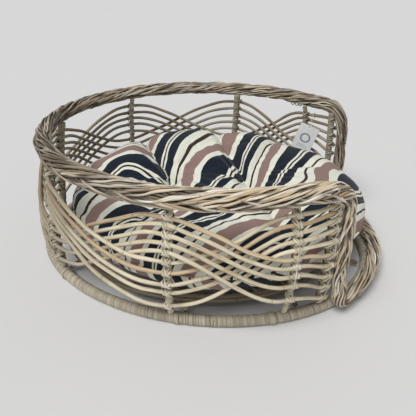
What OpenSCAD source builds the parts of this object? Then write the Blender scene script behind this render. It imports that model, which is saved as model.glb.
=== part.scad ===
/* [Foot ring] */
// Half length of the foot ring's centreline
foot_a = 300; // [270:1:330]
// Half width of the foot ring's centreline
foot_b = 221.5; // [200:0.5:240]
// Diameter of the bare foot ring pole
foot_pole_d = 14; // [10:1:15]
// Diameter over the peel binding
foot_wrap_d = 18; // [17:0.5:22]

/* [Rim] */
// Half length of the rim's centreline
rim_a = 276.7; // [250:1:300]
// Half width of the rim's centreline
rim_b = 242; // [220:1:260]
// How far the rim is set toward the entrance
rim_shift = 15; // [0:1:20]
// Height of the rim's centreline
rim_z = 227.5; // [220:0.5:250]
// How much higher the rim is along the near side, and lower along the far side
rim_lean = 4.8; // [0:0.1:8]
// Diameter of the rim pole
rim_pole_d = 13; // [8:0.5:13]
// Diameter of the rim braid along the near side
braid_d = 30; // [26:0.5:34]
// Diameter of the rim braid along the far side
braid_far_d = 25.5; // [22:0.5:32]
// Diameter of the braid on the two entrance jambs
jamb_braid_d = 21; // [16:0.5:22]
// Diameter of the braid on the entrance sill
sill_braid_d = 25; // [20:0.5:26]
// Height of the sill braid's centreline
sill_z = 29.5; // [28:0.5:34]
// How far the sill braid stands out from the foot ring
sill_out = 10.5; // [8:0.5:14]

/* [Wall] */
// Outward belly of the wall at mid height
belly_mid = 18; // [10:1:24]
// Outward belly of the wall at the entrance jambs
belly_jamb = 6; // [0:1:10]
// Outward belly of the wall at the closed end
belly_end = 4; // [0:1:12]
// Diameter of a wave rod
rod_d = 6; // [4:0.5:6.5]
// Diameter of a stake
stake_d = 8; // [6:0.5:8.5]
// Diameter of a jamb pole
jamb_d = 10; // [8:0.5:11]
// Angle of the jamb poles from the entrance axis
jamb_t = 42; // [40:0.5:46]
// Angle of the jamb braids from the entrance axis
jamb_braid_t = 37.7; // [35:0.1:38]
// Radial offset that keeps crossing rods apart
cross_off = 4.1; // [3.8:0.1:5]

/* [Floor] */
// Half length of the seat rings
seat_a = 248; // [230:1:255]
// Half width of the seat rings
seat_b = 200; // [180:1:203]
// Diameter of a seat ring pole
seat_d = 9; // [6:0.5:9]
// Width of a floor slat
slat_w = 12; // [8:1:20]
// Thickness of a floor slat
slat_t = 5.5; // [3:0.5:6]
// Pitch of the floor slats
slat_pitch = 41.8; // [34:0.2:44]
// Angle of the floor slats from the long axis
slat_angle = -29; // [-35:1:-20]

/* [Cushion] */
// Half length of the cushion
pad_a = 262; // [240:1:263]
// Half width of the cushion
pad_b = 219; // [200:1:220]
// Position of the cushion's middle along the long axis
pad_x = 23.5; // [20:0.5:25]
// Height of the cushion's underside
pad_z0 = 46.5; // [46:0.5:50]
// Height of the cushion's seam
pad_zs = 90; // [80:1:95]
// Height of the cushion's crown
pad_z1 = 152; // [140:1:160]
// How far the cushion can be lifted out
pad_lift = 400; // [300:10:500]

/* [Hang tag] */
// Width of the card
tag_w = 40; // [30:1:45]
// Height of the card
tag_h = 57; // [40:1:60]
// Thickness of the card
tag_t = 0.8; // [0.5:0.1:1.5]

/* [Hidden] */

rod_r = rod_d / 2;
stake_r = stake_d / 2;
jamb_r = jamb_d / 2;
foot_r = foot_wrap_d / 2;
// the binding is pressed flat where it stands on the floor
foot_z = foot_r * sin(70);
seat_x = -10;
seat_z1 = 26;
seat_z2 = seat_z1 + seat_d + 0.3;
slat_z = seat_z2 + seat_d / 2 + slat_t / 2 + 0.2;
// the origin is under the middle of the bounding box
mid_x = -((foot_a + sill_out + sill_braid_d / 2) - (foot_a + foot_r)) / 2;

function sstep(x) = x <= 0 ? 0 : x >= 1 ? 1 : x * x * (3 - 2 * x);
function mix(a, b, k) = a + (b - a) * k;
function unit(v) = v / norm(v);
function turn(t) = t > 180 ? t - 360 : t < -180 ? t + 360 : t;
function belly_at(a) = a < 90 ? mix(belly_jamb, belly_mid, sstep((a - 42) / 14)) : mix(belly_end, belly_mid, sstep((180 - a) / 80));
function belly(t, z) = belly_at(abs(turn(t))) * sin(180 * min(1, max(0, z / 210)));
function wall_a(z) = mix(foot_a, rim_a, z / rim_z);
function wall_b(z) = mix(foot_b, rim_b, z / rim_z);
// outward horizontal direction of the wall
function out(t, z) = unit([cos(t) / wall_a(z), sin(t) / wall_b(z), 0]);
// a point of the woven wall: angle, height, distance outward
function wall(t, z, off) = [rim_shift * z / rim_z + wall_a(z) * cos(t), wall_b(z) * sin(t), z] + out(t, z) * (belly(t, z) + off);

// Stakes in order round the wall, from jamb to jamb: angle at the top, angle at the foot
stake_t = [[-42, -42], [-56, -56], [-90.5, -90], [-142, -135.5], [-178, -179], [-222.5, -225], [-271.5, -271.5], [-303.5, -303.5], [-318, -318]];
// Heights at which ten rods are tied to each stake, top to bottom
ties = [
    [201, 190, 178, 162, 143, 120, 99, 77, 55, 31],
    [202, 189, 177, 165, 153, 140, 126, 110, 91, 60],
    [203, 191, 178, 165, 152, 137, 118, 96, 79, 45],
    [190, 178, 166, 155, 144, 124, 109, 94, 74, 45],
    [197, 184, 171, 158, 144, 127, 112, 96, 78, 50],
    [196, 181, 167, 152, 136, 117, 100, 83, 66, 44],
    [195, 178, 161, 146, 131, 113, 97, 80, 63, 44],
    [193, 181, 168, 155, 141, 120, 104, 87, 69, 48],
    [200, 184, 168, 150, 132, 108, 89, 70, 51, 31]];
// at stake k, wave 0 is up at odd positions and wave 1 at even ones; the last span keeps its level
function is_up(w, k) = k == 0 ? is_up(w, 1) : k == 8 ? is_up(w, 7) : (k % 2 == 0) == (w == 0);
function tie_z(w, i, k) = ties[k][is_up(w, k) ? i : 5 + i];
function st(k, z) = mix(stake_t[k][1], stake_t[k][0], sstep((z - 110) / 95));
// a wave's side of the lattice in span k: it leaves a high tie on the inside and a low tie on the outside
function side(w, k) = k == 0 || k == 7 ? 0 : is_up(w, k) ? -1 : 1;
span_n = [4, 9, 10, 10, 10, 10, 9, 4];
function rod_point(w, i, k, u) =
    let (z0 = tie_z(w, i, k), z1 = tie_z(w, i, k + 1),
         z = mix(z0, z1, (1 - cos(180 * u)) / 2),
         t = mix(st(k, z0), st(k + 1, z1), u))
    [t, z, cross_off * side(w, k) * min(1, 2.2 * sin(180 * u))];
function rod_path(w, i) = concat(
    [[stake_t[0][1] + 1.3, tie_z(w, i, 0), 0]],
    [for (k = [0:7]) for (j = [0:span_n[k] - 1]) rod_point(w, i, k, j / span_n[k])],
    [[stake_t[8][1], tie_z(w, i, 8), 0], [stake_t[8][1] - 1.3, tie_z(w, i, 8), 0]]);

// Sweeps: p is a list of points, n the matching outward directions
function tangents(p, closed) = let (m = len(p)) [for (i = [0:m - 1])
    unit(closed ? p[(i + 1) % m] - p[(i + m - 1) % m] : p[min(m - 1, i + 1)] - p[max(0, i - 1)])];
function ring(p, n, t, prof, r) = let (e1 = unit(n - t * (n * t)), e2 = cross(t, e1)) [for (q = prof) p + e1 * q[0] * r + e2 * q[1] * r];
function disc(k) = [for (i = [0:k - 1]) [cos(360 * i / k), sin(360 * i / k)]];
function flip(f, yes) = yes ? [for (q = f) [for (i = [len(q) - 1:-1:0]) q[i]]] : f;
function tube_faces(m, k, base, closed) = [for (i = [0:m - (closed ? 1 : 2)]) for (j = [0:k - 1])
    let (a = base + i * k + j, b = base + i * k + (j + 1) % k, i2 = (i + 1) % m, c = base + i2 * k + (j + 1) % k, d = base + i2 * k + j) each [[a, b, c], [a, c, d]]];
module sweep(p, n, k, r, closed = false) {
    t = tangents(p, closed);
    m = len(p);
    pts = [for (i = [0:m - 1]) each ring(p[i], n[i], t[i], disc(k), is_list(r) ? r[i] : r)];
    f = concat(tube_faces(m, k, 0, closed), closed ? [] : [[for (j = [0:k - 1]) k - 1 - j], [for (j = [0:k - 1]) (m - 1) * k + j]]);
    polyhedron(pts, flip(f, true), convexity = 10);
}
// an open tube with a wall, its two ends closed by annular faces
module sleeve(p, n, prof, ro, ri) {
    t = tangents(p, false);
    m = len(p);
    k = len(prof);
    pts = concat([for (i = [0:m - 1]) each ring(p[i], n[i], t[i], prof, is_list(ro) ? ro[i] : ro)], [for (i = [0:m - 1]) each ring(p[i], n[i], t[i], disc(k), ri)]);
    f = concat(tube_faces(m, k, 0, false), flip(tube_faces(m, k, m * k, false), true),
        [for (j = [0:k - 1]) let (b = (j + 1) % k) each [[m * k + j, m * k + b, b], [m * k + j, b, j]]],
        [for (j = [0:k - 1]) let (b = (j + 1) % k, o = (m - 1) * k) each [[o + j, o + b, m * k + o + b], [o + j, m * k + o + b, m * k + o + j]]]);
    polyhedron(pts, flip(f, true), convexity = 10);
}
module place() { translate([mid_x, 0, 0]) children(); }

function foot_point(t, off, z) = [foot_a * cos(t), foot_b * sin(t), z] + off * unit([cos(t) / foot_a, sin(t) / foot_b, 0]);
function foot_out(t) = unit([cos(t) / foot_a, sin(t) / foot_b, 0]);
function rim_h(t) = rim_z - rim_lean * sin(t);
function rim_rad(t) = mix(braid_far_d, braid_d, max(0, -sin(t))) / 2;
function rim_point(t) = [rim_shift + rim_a * cos(t), rim_b * sin(t), rim_h(t)];
function rim_out(t) = unit([cos(t) / rim_a, sin(t) / rim_b, 0]);
function seat_point(t, z) = [seat_x + seat_a * cos(t), seat_b * sin(t), z];

// round outline with a flat underside, for the binding that touches the floor
flat_prof = [for (a = [0, 40, 90, 140, 180, 215, 250, 290, 325]) [cos(a), sin(a)]];

module foot_ring_pole() color([0.50, 0.43, 0.33]) place()
    let (ts = [for (i = [0:53]) 360 * i / 54]) sweep([for (t = ts) foot_point(t, 0, foot_z)], [for (t = ts) foot_out(t)], 8, foot_pole_d / 2, true);

// peel wound round the pole, one length between each pair of stake feet
bind_t = [-34, -58.5, -92.5, -137, -180, -226, -269.5, -301.5, -326, -394];
module foot_ring_binding() color([0.64, 0.59, 0.50]) place()
    for (s = [0:8]) let (a = bind_t[s] - 0.25, b = bind_t[s + 1] + 0.25, m = max(4, round((a - b) / 7)), ts = [for (i = [0:m]) mix(a, b, i / m)])
        sleeve([for (t = ts) foot_point(t, 0, foot_z)], [for (t = ts) foot_out(t)], flat_prof, foot_r, foot_pole_d / 2 + 0.95);

module seat_ring(z) let (ts = [for (i = [0:47]) 360 * i / 48]) sweep([for (t = ts) seat_point(t, z)], [for (t = ts) foot_out(t)], 6, seat_d / 2, true);
module seat_ring_lower() color([0.42, 0.36, 0.28]) place() seat_ring(seat_z1);
module seat_ring_upper() color([0.46, 0.39, 0.30]) place() seat_ring(seat_z2);

// short pegs between the foot ring and the lower seat ring
peg_t = [-8, -50, -86, -134, 180, 134, 86, 50];
peg_d = 7;
module along(a, b) { v = b - a; translate(a) rotate([0, acos(v[2] / norm(v)), atan2(v[1], v[0])]) children(); }
function peg_a(t) = foot_point(t, -foot_r - 3.6, foot_z + 2);
function peg_b(t) = let (f = foot_point(t, 0, 0), u = atan2(f[1] / seat_b, (f[0] - seat_x) / seat_a), s = seat_point(u, 0), d = unit([f[0] - s[0], f[1] - s[1], 0])) [s[0], s[1], seat_z1 - 5.2] + d * 4.5;
module seat_ring_pegs() color([0.44, 0.38, 0.29]) place()
    for (t = peg_t) let (a = peg_a(t), b = peg_b(t)) along(a, b) cylinder(h = norm(b - a), d = peg_d, $fn = 24);
module peg_lashings() color([0.60, 0.54, 0.42]) place()
    for (t = peg_t) let (a = peg_a(t), b = peg_b(t)) along(a, b) for (k = [0:2]) translate([0, 0, norm(b - a) * 0.35 + k * 1.9])
        rotate_extrude($fn = 24) translate([peg_d / 2 + 0.85, 0]) circle(d = 1.5, $fn = 14);

// half the length of a slat whose middle line is at distance s from the seat ring's middle
function slat_len(s) = let (c = cos(slat_angle), n = sin(slat_angle), A = pow(c / seat_a, 2) + pow(n / seat_b, 2),
    B = 2 * (-s * n * c / (seat_a * seat_a) + s * c * n / (seat_b * seat_b)), C = pow(s * n / seat_a, 2) + pow(s * c / seat_b, 2) - 1,
    q = sqrt(max(0, B * B - 4 * A * C))) [(-B - q) / (2 * A), (-B + q) / (2 * A)];
module floor_slat(i) let (s = (i - 5) * slat_pitch, e = slat_len(s))
    translate([seat_x, 0, slat_z]) rotate(slat_angle) translate([(e[0] + e[1]) / 2, s, 0]) cube([e[1] - e[0] + 10, slat_w, slat_t], center = true);
module floor_slat_1() color([0.36, 0.31, 0.25]) place() floor_slat(1);
module floor_slat_2() color([0.36, 0.31, 0.25]) place() floor_slat(2);
module floor_slat_3() color([0.36, 0.31, 0.25]) place() floor_slat(3);
module floor_slat_4() color([0.36, 0.31, 0.25]) place() floor_slat(4);
module floor_slat_5() color([0.36, 0.31, 0.25]) place() floor_slat(5);
module floor_slat_6() color([0.36, 0.31, 0.25]) place() floor_slat(6);
module floor_slat_7() color([0.36, 0.31, 0.25]) place() floor_slat(7);
module floor_slat_8() color([0.36, 0.31, 0.25]) place() floor_slat(8);
module floor_slat_9() color([0.36, 0.31, 0.25]) place() floor_slat(9);

// rim: a bent pole with a braided border wound over it
rim_end = 46;
rim_ts = let (a = -rim_end, b = rim_end - 360, m = 54) concat([a, a - 0.3], [for (i = [1:m - 1]) mix(a, b, i / m)], [b + 0.3, b]);
module rim_pole() color([0.55, 0.46, 0.34]) place()
    sweep([for (t = rim_ts) rim_point(t)], [for (t = rim_ts) rim_out(t)], 8, rim_pole_d / 2);
module rim_braid() color([0.72, 0.61, 0.45]) place()
    sleeve([for (t = rim_ts) rim_point(t)], [for (t = rim_ts) rim_out(t)], disc(8), [for (t = rim_ts) rim_rad(t)], rim_pole_d / 2 + 0.2);

// the braid goes on down the jamb, round the sill and up the other jamb
function bez(a, b, c, u) = a * (1 - u) * (1 - u) + b * 2 * u * (1 - u) + c * u * u;
// q is -1 at the near jamb and 1 at the far one; the rim's corner comes earlier at the far one
// the near jamb's braid goes down outside the foot ring and turns in a tight corner
function near_k(q, k) = q < 0 ? sstep(k) : 0;
function jamb_line(z, q) = wall(q * (jamb_braid_t - 0.3 * near_k(q, (66 - z) / 34) + 2.6 * near_k(q, (48 - z) / 26)), z,
    mix(5, 2, sstep((z - 26) / 60)) + 10.5 * near_k(q, (66 - z) / 34));
function sill_line(t, q) = let (k = near_k(q, (t - 8) / 24)) foot_point(q * t, sill_out + 4.6 * k + 0.7 * sin(180 * k), sill_z - 3.2 * k);
function jamb_foot(q) = q < 0
    ? concat([for (z = [60, 51]) jamb_line(z, q)],
        [for (u = [0, 0.17, 0.34, 0.5, 0.67, 0.84, 1]) bez(jamb_line(42, q), foot_point(-40.6, 20.6, 15.5), sill_line(28, q), u)], [sill_line(24.5, q)])
    : [for (u = [0, 0.17, 0.34, 0.5, 0.67, 0.84, 1]) bez(jamb_line(62, q), jamb_line(sill_z - 5, q), sill_line(26, q), u)];
function half_entry(q) = let (apex = q < 0 ? 36.4 : 38.4) concat(
    [rim_point(q * (rim_end - 0.03))],
    [for (u = [0, 0.2, 0.4, 0.6, 0.8]) bez(rim_point(q * (rim_end - 0.33)), rim_point(q * apex), jamb_line(188, q), u)],
    [for (z = [188:-16:76]) jamb_line(z, q)],
    jamb_foot(q),
    [for (t = [21:-5.25:1]) sill_line(t, q)]);
far_entry = half_entry(1);
entry_path = concat(half_entry(-1), [foot_point(0, sill_out, sill_z)], [for (i = [len(far_entry) - 1:-1:0]) far_entry[i]]);
function entry_r(q) = q[2] > 100 ? mix(jamb_braid_d / 2, rim_rad(q[1] < 0 ? -rim_end : rim_end), sstep((q[2] - 188) / 36)) : mix(sill_braid_d, jamb_braid_d, sstep((q[2] - sill_z) / 60)) / 2;
module entrance_braid() color([0.68, 0.56, 0.41]) place()
    sweep(entry_path, [for (q = entry_path) rim_out(atan2(q[1] / rim_b, q[0] / rim_a))], 8, [for (q = entry_path) entry_r(q)]);

// jamb poles and stakes stand on the foot ring and are tucked into the braid
module post(k, r, off) let (zs = [for (i = [0:9]) mix(18.3, rim_h(stake_t[k][0]) - 9, i / 9)])
    sweep([for (z = zs) wall(st(k, z), z, off)], [for (z = zs) out(st(k, z), z)], 8, r);
jamb_off = -rod_r - jamb_r - 0.3;
stake_off = -rod_r - stake_r - 0.3;
module jamb(k) post(k, jamb_r, jamb_off);
module stake(k) post(k, stake_r, stake_off);
module near_jamb_pole() color([0.66, 0.58, 0.44]) place() jamb(0);
module far_jamb_pole() color([0.52, 0.46, 0.36]) place() jamb(8);
module near_entrance_stake() color([0.76, 0.70, 0.56]) place() stake(1);
module near_side_stake() color([0.74, 0.68, 0.54]) place() stake(2);
module near_end_stake() color([0.66, 0.60, 0.47]) place() stake(3);
module end_stake() color([0.58, 0.52, 0.42]) place() stake(4);
module far_end_stake() color([0.58, 0.52, 0.41]) place() stake(5);
module far_side_stake() color([0.56, 0.50, 0.40]) place() stake(6);
module far_entrance_stake() color([0.58, 0.52, 0.42]) place() stake(7);

// two sets of five rods run in opposed waves and cross between the stakes
module wave_rod(w, i) let (q = rod_path(w, i - 1))
    sweep([for (v = q) wall(v[0], v[1], v[2])], [for (v = q) out(v[0], v[1])], 6, rod_r);
module wave_a_rod_1() color([0.86, 0.80, 0.68]) place() wave_rod(0, 1);
module wave_a_rod_2() color([0.87, 0.82, 0.70]) place() wave_rod(0, 2);
module wave_a_rod_3() color([0.85, 0.79, 0.66]) place() wave_rod(0, 3);
module wave_a_rod_4() color([0.86, 0.81, 0.69]) place() wave_rod(0, 4);
module wave_a_rod_5() color([0.88, 0.83, 0.72]) place() wave_rod(0, 5);
module wave_b_rod_1() color([0.86, 0.80, 0.68]) place() wave_rod(1, 1);
module wave_b_rod_2() color([0.78, 0.66, 0.49]) place() wave_rod(1, 2);
module wave_b_rod_3() color([0.86, 0.80, 0.67]) place() wave_rod(1, 3);
module wave_b_rod_4() color([0.87, 0.82, 0.70]) place() wave_rod(1, 4);
module wave_b_rod_5() color([0.86, 0.81, 0.69]) place() wave_rod(1, 5);

// a loop of peel drawn slantwise round a rod and the post behind it
module lash(k, z, r, dir) let (t = st(k, z), c = wall(t, z, -r - 0.15), n = out(t, z), f = r + rod_r + 2.2)
    translate(c) rotate([0, 0, atan2(n[1], n[0])]) rotate([dir * 45, 0, 0])
        rotate_extrude($fn = 32) translate([f, 0]) square([1.1, 1.5], center = true);
module lashings(k, r) for (i = [0:9]) lash(k, ties[k][i], r, 1);
tie_c = [0.80, 0.76, 0.66];
module near_jamb_lashings() color(tie_c) place() lashings(0, jamb_r);
module near_entrance_lashings() color(tie_c) place() lashings(1, stake_r);
module near_side_lashings() color(tie_c) place() lashings(2, stake_r);
module near_end_lashings() color(tie_c) place() lashings(3, stake_r);
module end_lashings() color(tie_c) place() lashings(4, stake_r);
module far_end_lashings() color(tie_c) place() lashings(5, stake_r);
module far_side_lashings() color(tie_c) place() lashings(6, stake_r);
module far_entrance_lashings() color(tie_c) place() lashings(7, stake_r);
module far_jamb_lashings() color(tie_c) place() lashings(8, jamb_r);

// peel loops round the foot ring beside the foot of each stake
module foot_lashings() color(tie_c) place()
    for (t = [-60, -88, -132.5, -171, -222.5, -268, -300]) let (p = foot_point(t, 0, foot_z), n = foot_out(t))
        translate(p) rotate([0, 0, atan2(n[1], n[0])]) rotate([90, 0, 0])
            difference() {
                rotate_extrude($fn = 32) translate([foot_r + 1.1, 0]) square([1.3, 3], center = true);
                translate([-20, -20 - foot_z + 0.2, -5]) cube([40, 20, 10]);
            }

// cushion
function pad_plan(p, s, inset) = let (c = cos(p)) [pad_x + (pad_a - inset) * s * c, (pad_b - inset) * s * sin(p) * (1 - 0.15 * pow(max(0, c), 2))];
// two tufts on the long axis pull the crown down
tuft_x = 74;
tuft_d = 26;
function tuft(q) = tuft_d * (exp(-(pow(q[0] - pad_x + tuft_x, 2) + q[1] * q[1]) / 1600) + exp(-(pow(q[0] - pad_x - tuft_x, 2) + q[1] * q[1]) / 1600));
function pad_top(q, s, d) = pad_zs + (pad_z1 - pad_zs) * pow(max(0, 1 - pow(s, 5)), 0.45) - tuft(q) * (1 - pow(s, 5)) - d;
function pad_low(q, s, d) = pad_zs - (pad_zs - pad_z0) * pow(max(0, 1 - pow(s, 7)), 0.35) + d;
pad_n = 28;
ss = [0.2, 0.42, 0.62, 0.8, 0.92, 0.985];
// one half of a closed cushion-like surface: rows from the middle out to the seam
function pad_rows(upper, inset, d) = concat(
    [let (q = [pad_x, 0]) [q[0], q[1], upper ? pad_top(q, 0, d) : pad_low(q, 0, d)]],
    [for (s = ss) for (j = [0:pad_n - 1]) let (q = pad_plan(360 * j / pad_n, s, inset)) [q[0], q[1], upper ? pad_top(q, s, d) : pad_low(q, s, d)]],
    [for (j = [0:pad_n - 1]) let (q = pad_plan(360 * j / pad_n, 1, inset)) [q[0], q[1], pad_zs + (upper ? 0.1 : -0.1)]]);
function cap_faces(base) = concat(
    [for (j = [0:pad_n - 1]) [base, base + 1 + j, base + 1 + (j + 1) % pad_n]],
    [for (i = [0:len(ss) - 1]) for (j = [0:pad_n - 1]) let (a = base + 1 + i * pad_n, b = a + pad_n, k = (j + 1) % pad_n) each [[a + j, b + j, b + k], [a + j, b + k, a + k]]]);
rows_n = 1 + pad_n * (len(ss) + 1);
module panel(upper) {
    pts = concat(pad_rows(upper, 0, 0), pad_rows(upper, 1.4, 1.4));
    o = 1 + pad_n * len(ss);
    f = concat(cap_faces(0), flip(cap_faces(rows_n), true),
        [for (j = [0:pad_n - 1]) let (k = (j + 1) % pad_n, b = o + rows_n) each [[o + j, b + j, b + k], [o + j, b + k, o + k]]]);
    polyhedron(pts, flip(f, upper), convexity = 10);
}
module pad_core() {
    pts = concat(pad_rows(true, 2, 2), pad_rows(false, 2, 2));
    o = 1 + pad_n * len(ss);
    f = concat(flip(cap_faces(0), true), cap_faces(rows_n),
        [for (j = [0:pad_n - 1]) let (k = (j + 1) % pad_n, b = o + rows_n) each [[o + j, o + k, b + k], [o + j, b + k, b + j]]]);
    polyhedron(pts, f, convexity = 10);
}
module cushion_top_panel() color([0.62, 0.55, 0.53]) place() panel(true);
module cushion_bottom_panel() color([0.30, 0.31, 0.36]) place() panel(false);
module cushion_filling() color([0.93, 0.93, 0.90]) place() difference() {
    pad_core();
    for (x = [-1, 1]) translate([pad_x + x * tuft_x, 0, 0]) cylinder(h = 200, r = 2.6, $fn = 24);
}
// inner ties that draw the two panels together
module cushion_tuft_ties() color([0.85, 0.84, 0.78]) place()
    for (x = [-1, 1]) translate([pad_x + x * tuft_x, 0, pad_z0 + 2.2]) cylinder(h = pad_top([pad_x + tuft_x, 0], 0.28, 0) - pad_z0 - 8, r = 2, $fn = 24);

// hang tag on a loop of string round the top rod beside the entrance
tag_at = rod_point(1, 0, 7, 0.25);
tag_a = tag_at[0];
tag_z = tag_at[1];
tag_tilt = 17;
function tag_pivot() = wall(tag_a, tag_z, 0);
tag_drop = 24;
tag_in = 10.8;
module tag_frame() let (n = out(tag_a, tag_z)) translate(tag_pivot()) rotate([0, 0, atan2(n[1], n[0]) - 90]) children();
// the loop lies in the plane across the rod; x along the rod, y outward, z up
loop_n = 9;
loop_path = let (c = [0, -tag_in, -tag_drop + 2.6], l = atan2(-c[1], -c[2])) concat(
    [for (i = [0:loop_n]) let (a = -90 + 180 * i / loop_n + l) [0, 4.6 * sin(a), 4.6 * cos(a)]],
    [for (i = [0:loop_n]) let (a = 90 + 180 * i / loop_n + l) c + [0, 2.4 * sin(a), 2.4 * cos(a)]]);
module tag_string() color([0.88, 0.86, 0.80]) place() tag_frame()
    sweep(loop_path, [for (q = loop_path) [1, 0, 0]], 6, 0.65, true);
module hang_tag() color([0.93, 0.94, 0.95]) place() tag_frame()
    translate([0, -tag_in, -tag_drop]) rotate([0, 0, 23]) rotate([0, tag_tilt, 0]) rotate([90, 0, 0])
        translate([0, 0, -tag_t / 2]) linear_extrude(tag_t) difference() {
            translate([0, 5 - tag_h / 2]) square([tag_w, tag_h], center = true);
            circle(r = 2.2, $fn = 32);
        }

foot_ring_pole();
foot_ring_binding();
seat_ring_lower();
seat_ring_upper();
seat_ring_pegs();
peg_lashings();
floor_slat_1();
floor_slat_2();
floor_slat_3();
floor_slat_4();
floor_slat_5();
floor_slat_6();
floor_slat_7();
floor_slat_8();
floor_slat_9();
rim_pole();
rim_braid();
entrance_braid();
near_jamb_pole();
far_jamb_pole();
near_entrance_stake();
near_side_stake();
near_end_stake();
end_stake();
far_end_stake();
far_side_stake();
far_entrance_stake();
wave_a_rod_1();
wave_a_rod_2();
wave_a_rod_3();
wave_a_rod_4();
wave_a_rod_5();
wave_b_rod_1();
wave_b_rod_2();
wave_b_rod_3();
wave_b_rod_4();
wave_b_rod_5();
near_jamb_lashings();
near_entrance_lashings();
near_side_lashings();
near_end_lashings();
end_lashings();
far_end_lashings();
far_side_lashings();
far_entrance_lashings();
far_jamb_lashings();
foot_lashings();
cushion_top_panel();
cushion_bottom_panel();
cushion_filling();
cushion_tuft_ties();
hang_tag();
tag_string();
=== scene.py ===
import bpy
import math
import numpy as np
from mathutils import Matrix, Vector


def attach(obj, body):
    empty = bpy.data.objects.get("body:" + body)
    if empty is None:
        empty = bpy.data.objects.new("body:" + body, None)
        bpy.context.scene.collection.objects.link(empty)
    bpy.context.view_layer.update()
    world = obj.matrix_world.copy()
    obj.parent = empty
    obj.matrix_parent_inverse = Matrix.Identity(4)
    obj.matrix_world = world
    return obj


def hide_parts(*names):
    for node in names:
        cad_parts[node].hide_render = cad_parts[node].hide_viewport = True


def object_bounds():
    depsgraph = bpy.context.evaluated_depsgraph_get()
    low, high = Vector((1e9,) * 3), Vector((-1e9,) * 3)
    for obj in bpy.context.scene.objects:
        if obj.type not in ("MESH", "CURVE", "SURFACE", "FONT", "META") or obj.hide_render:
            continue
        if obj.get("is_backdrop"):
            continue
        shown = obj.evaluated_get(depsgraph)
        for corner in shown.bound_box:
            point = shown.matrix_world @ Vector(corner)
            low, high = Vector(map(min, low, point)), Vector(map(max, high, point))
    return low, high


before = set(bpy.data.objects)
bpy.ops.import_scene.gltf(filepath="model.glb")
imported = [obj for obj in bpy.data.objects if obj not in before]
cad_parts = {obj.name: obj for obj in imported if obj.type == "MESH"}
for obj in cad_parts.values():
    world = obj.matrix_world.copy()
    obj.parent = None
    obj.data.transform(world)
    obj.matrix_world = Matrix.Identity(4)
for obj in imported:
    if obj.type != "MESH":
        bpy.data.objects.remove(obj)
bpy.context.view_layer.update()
rng = np.random.default_rng(7)
MM = 0.001

# ---------------------------------------------------------------- camera
cam_d = bpy.data.cameras.new("camera")
cam = bpy.data.objects.new("camera", cam_d)
bpy.context.scene.collection.objects.link(cam)
cam_d.sensor_width = 36
cam_d.lens = 36 * 442.47 / 416
cam.location = (0.15382, -0.68278, 0.50369)
_e, _a = math.radians(31.82), math.radians(12.53)
_back = Vector((math.sin(_a) * math.cos(_e), -math.cos(_a) * math.cos(_e), math.sin(_e)))
cam.rotation_mode = "QUATERNION"
cam.rotation_quaternion = (-_back).to_track_quat("-Z", "Y")
cam_d.clip_start, cam_d.clip_end = 0.01, 60
bpy.context.scene.camera = cam

# ---------------------------------------------------------------- the basket's own geometry, in mm and degrees
foot_a, foot_b, foot_r, foot_z = 300.0, 221.5, 9.0, 8.457
rim_a, rim_b, rim_shift, rim_z, rim_lean = 276.7, 242.0, 15.0, 227.5, 4.8
sill_z, sill_out = 29.5, 10.5
rod_r, stake_r, jamb_r = 3.0, 4.0, 5.0
seat_a, seat_b, seat_x, seat_d = 248.0, 200.0, -10.0, 9.0
seat_z1, seat_z2, slat_w, slat_t, slat_pitch, slat_angle, slat_z = 26.0, 35.3, 12.0, 5.5, 41.8, -29.0, 42.75
MIDX = -7.0
D2R = np.pi / 180
stake_t = [(-42, -42), (-56, -56), (-90.5, -90), (-142, -135.5), (-178, -179), (-222.5, -225), (-271.5, -271.5), (-303.5, -303.5), (-318, -318)]
ties = [
    [201, 190, 178, 162, 143, 120, 99, 77, 55, 31],
    [202, 189, 177, 165, 153, 140, 126, 110, 91, 60],
    [203, 191, 178, 165, 152, 137, 118, 96, 79, 45],
    [190, 178, 166, 155, 144, 124, 109, 94, 74, 45],
    [197, 184, 171, 158, 144, 127, 112, 96, 78, 50],
    [196, 181, 167, 152, 136, 117, 100, 83, 66, 44],
    [195, 178, 161, 146, 131, 113, 97, 80, 63, 44],
    [193, 181, 168, 155, 141, 120, 104, 87, 69, 48],
    [200, 184, 168, 150, 132, 108, 89, 70, 51, 31]]


def sstep(x):
    x = np.clip(x, 0, 1)
    return x * x * (3 - 2 * x)


def mix(a, b, k):
    return a + (b - a) * k


def nrm(v):
    return v / np.maximum(np.linalg.norm(v, axis=-1, keepdims=True), 1e-12)


def turn(t):
    t = np.asarray(t, float)
    return np.where(t > 180, t - 360, np.where(t < -180, t + 360, t))


def belly(t, z):
    a = np.abs(turn(t))
    b = np.where(a < 90, mix(6, 18, sstep((a - 42) / 14)), mix(4, 18, sstep((180 - a) / 80)))
    return b * np.sin(np.pi * np.clip(np.asarray(z, float) / 210, 0, 1))


def wa(z):
    return mix(foot_a, rim_a, np.asarray(z, float) / rim_z)


def wb(z):
    return mix(foot_b, rim_b, np.asarray(z, float) / rim_z)


def out(t, z):
    t = np.asarray(t, float) * D2R
    return nrm(np.stack(np.broadcast_arrays(np.cos(t) / wa(z), np.sin(t) / wb(z), 0.0 * t), -1))


def wall(t, z, off=0.0):
    t, z = np.broadcast_arrays(np.asarray(t, float), np.asarray(z, float))
    p = np.stack([rim_shift * z / rim_z + wa(z) * np.cos(t * D2R), wb(z) * np.sin(t * D2R), z], -1)
    return p + out(t, z) * (belly(t, z) + off)[..., None]


def st(k, z):
    return mix(stake_t[k][1], stake_t[k][0], sstep((np.asarray(z, float) - 110) / 95))


def is_up(w, k):
    if k == 0:
        return is_up(w, 1)
    if k == 8:
        return is_up(w, 7)
    return (k % 2 == 0) == (w == 0)


def tie_z(w, i, k):
    return ties[k][i if is_up(w, k) else 5 + i]


def side(w, k):
    return 0 if k in (0, 7) else (-1 if is_up(w, k) else 1)


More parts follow.
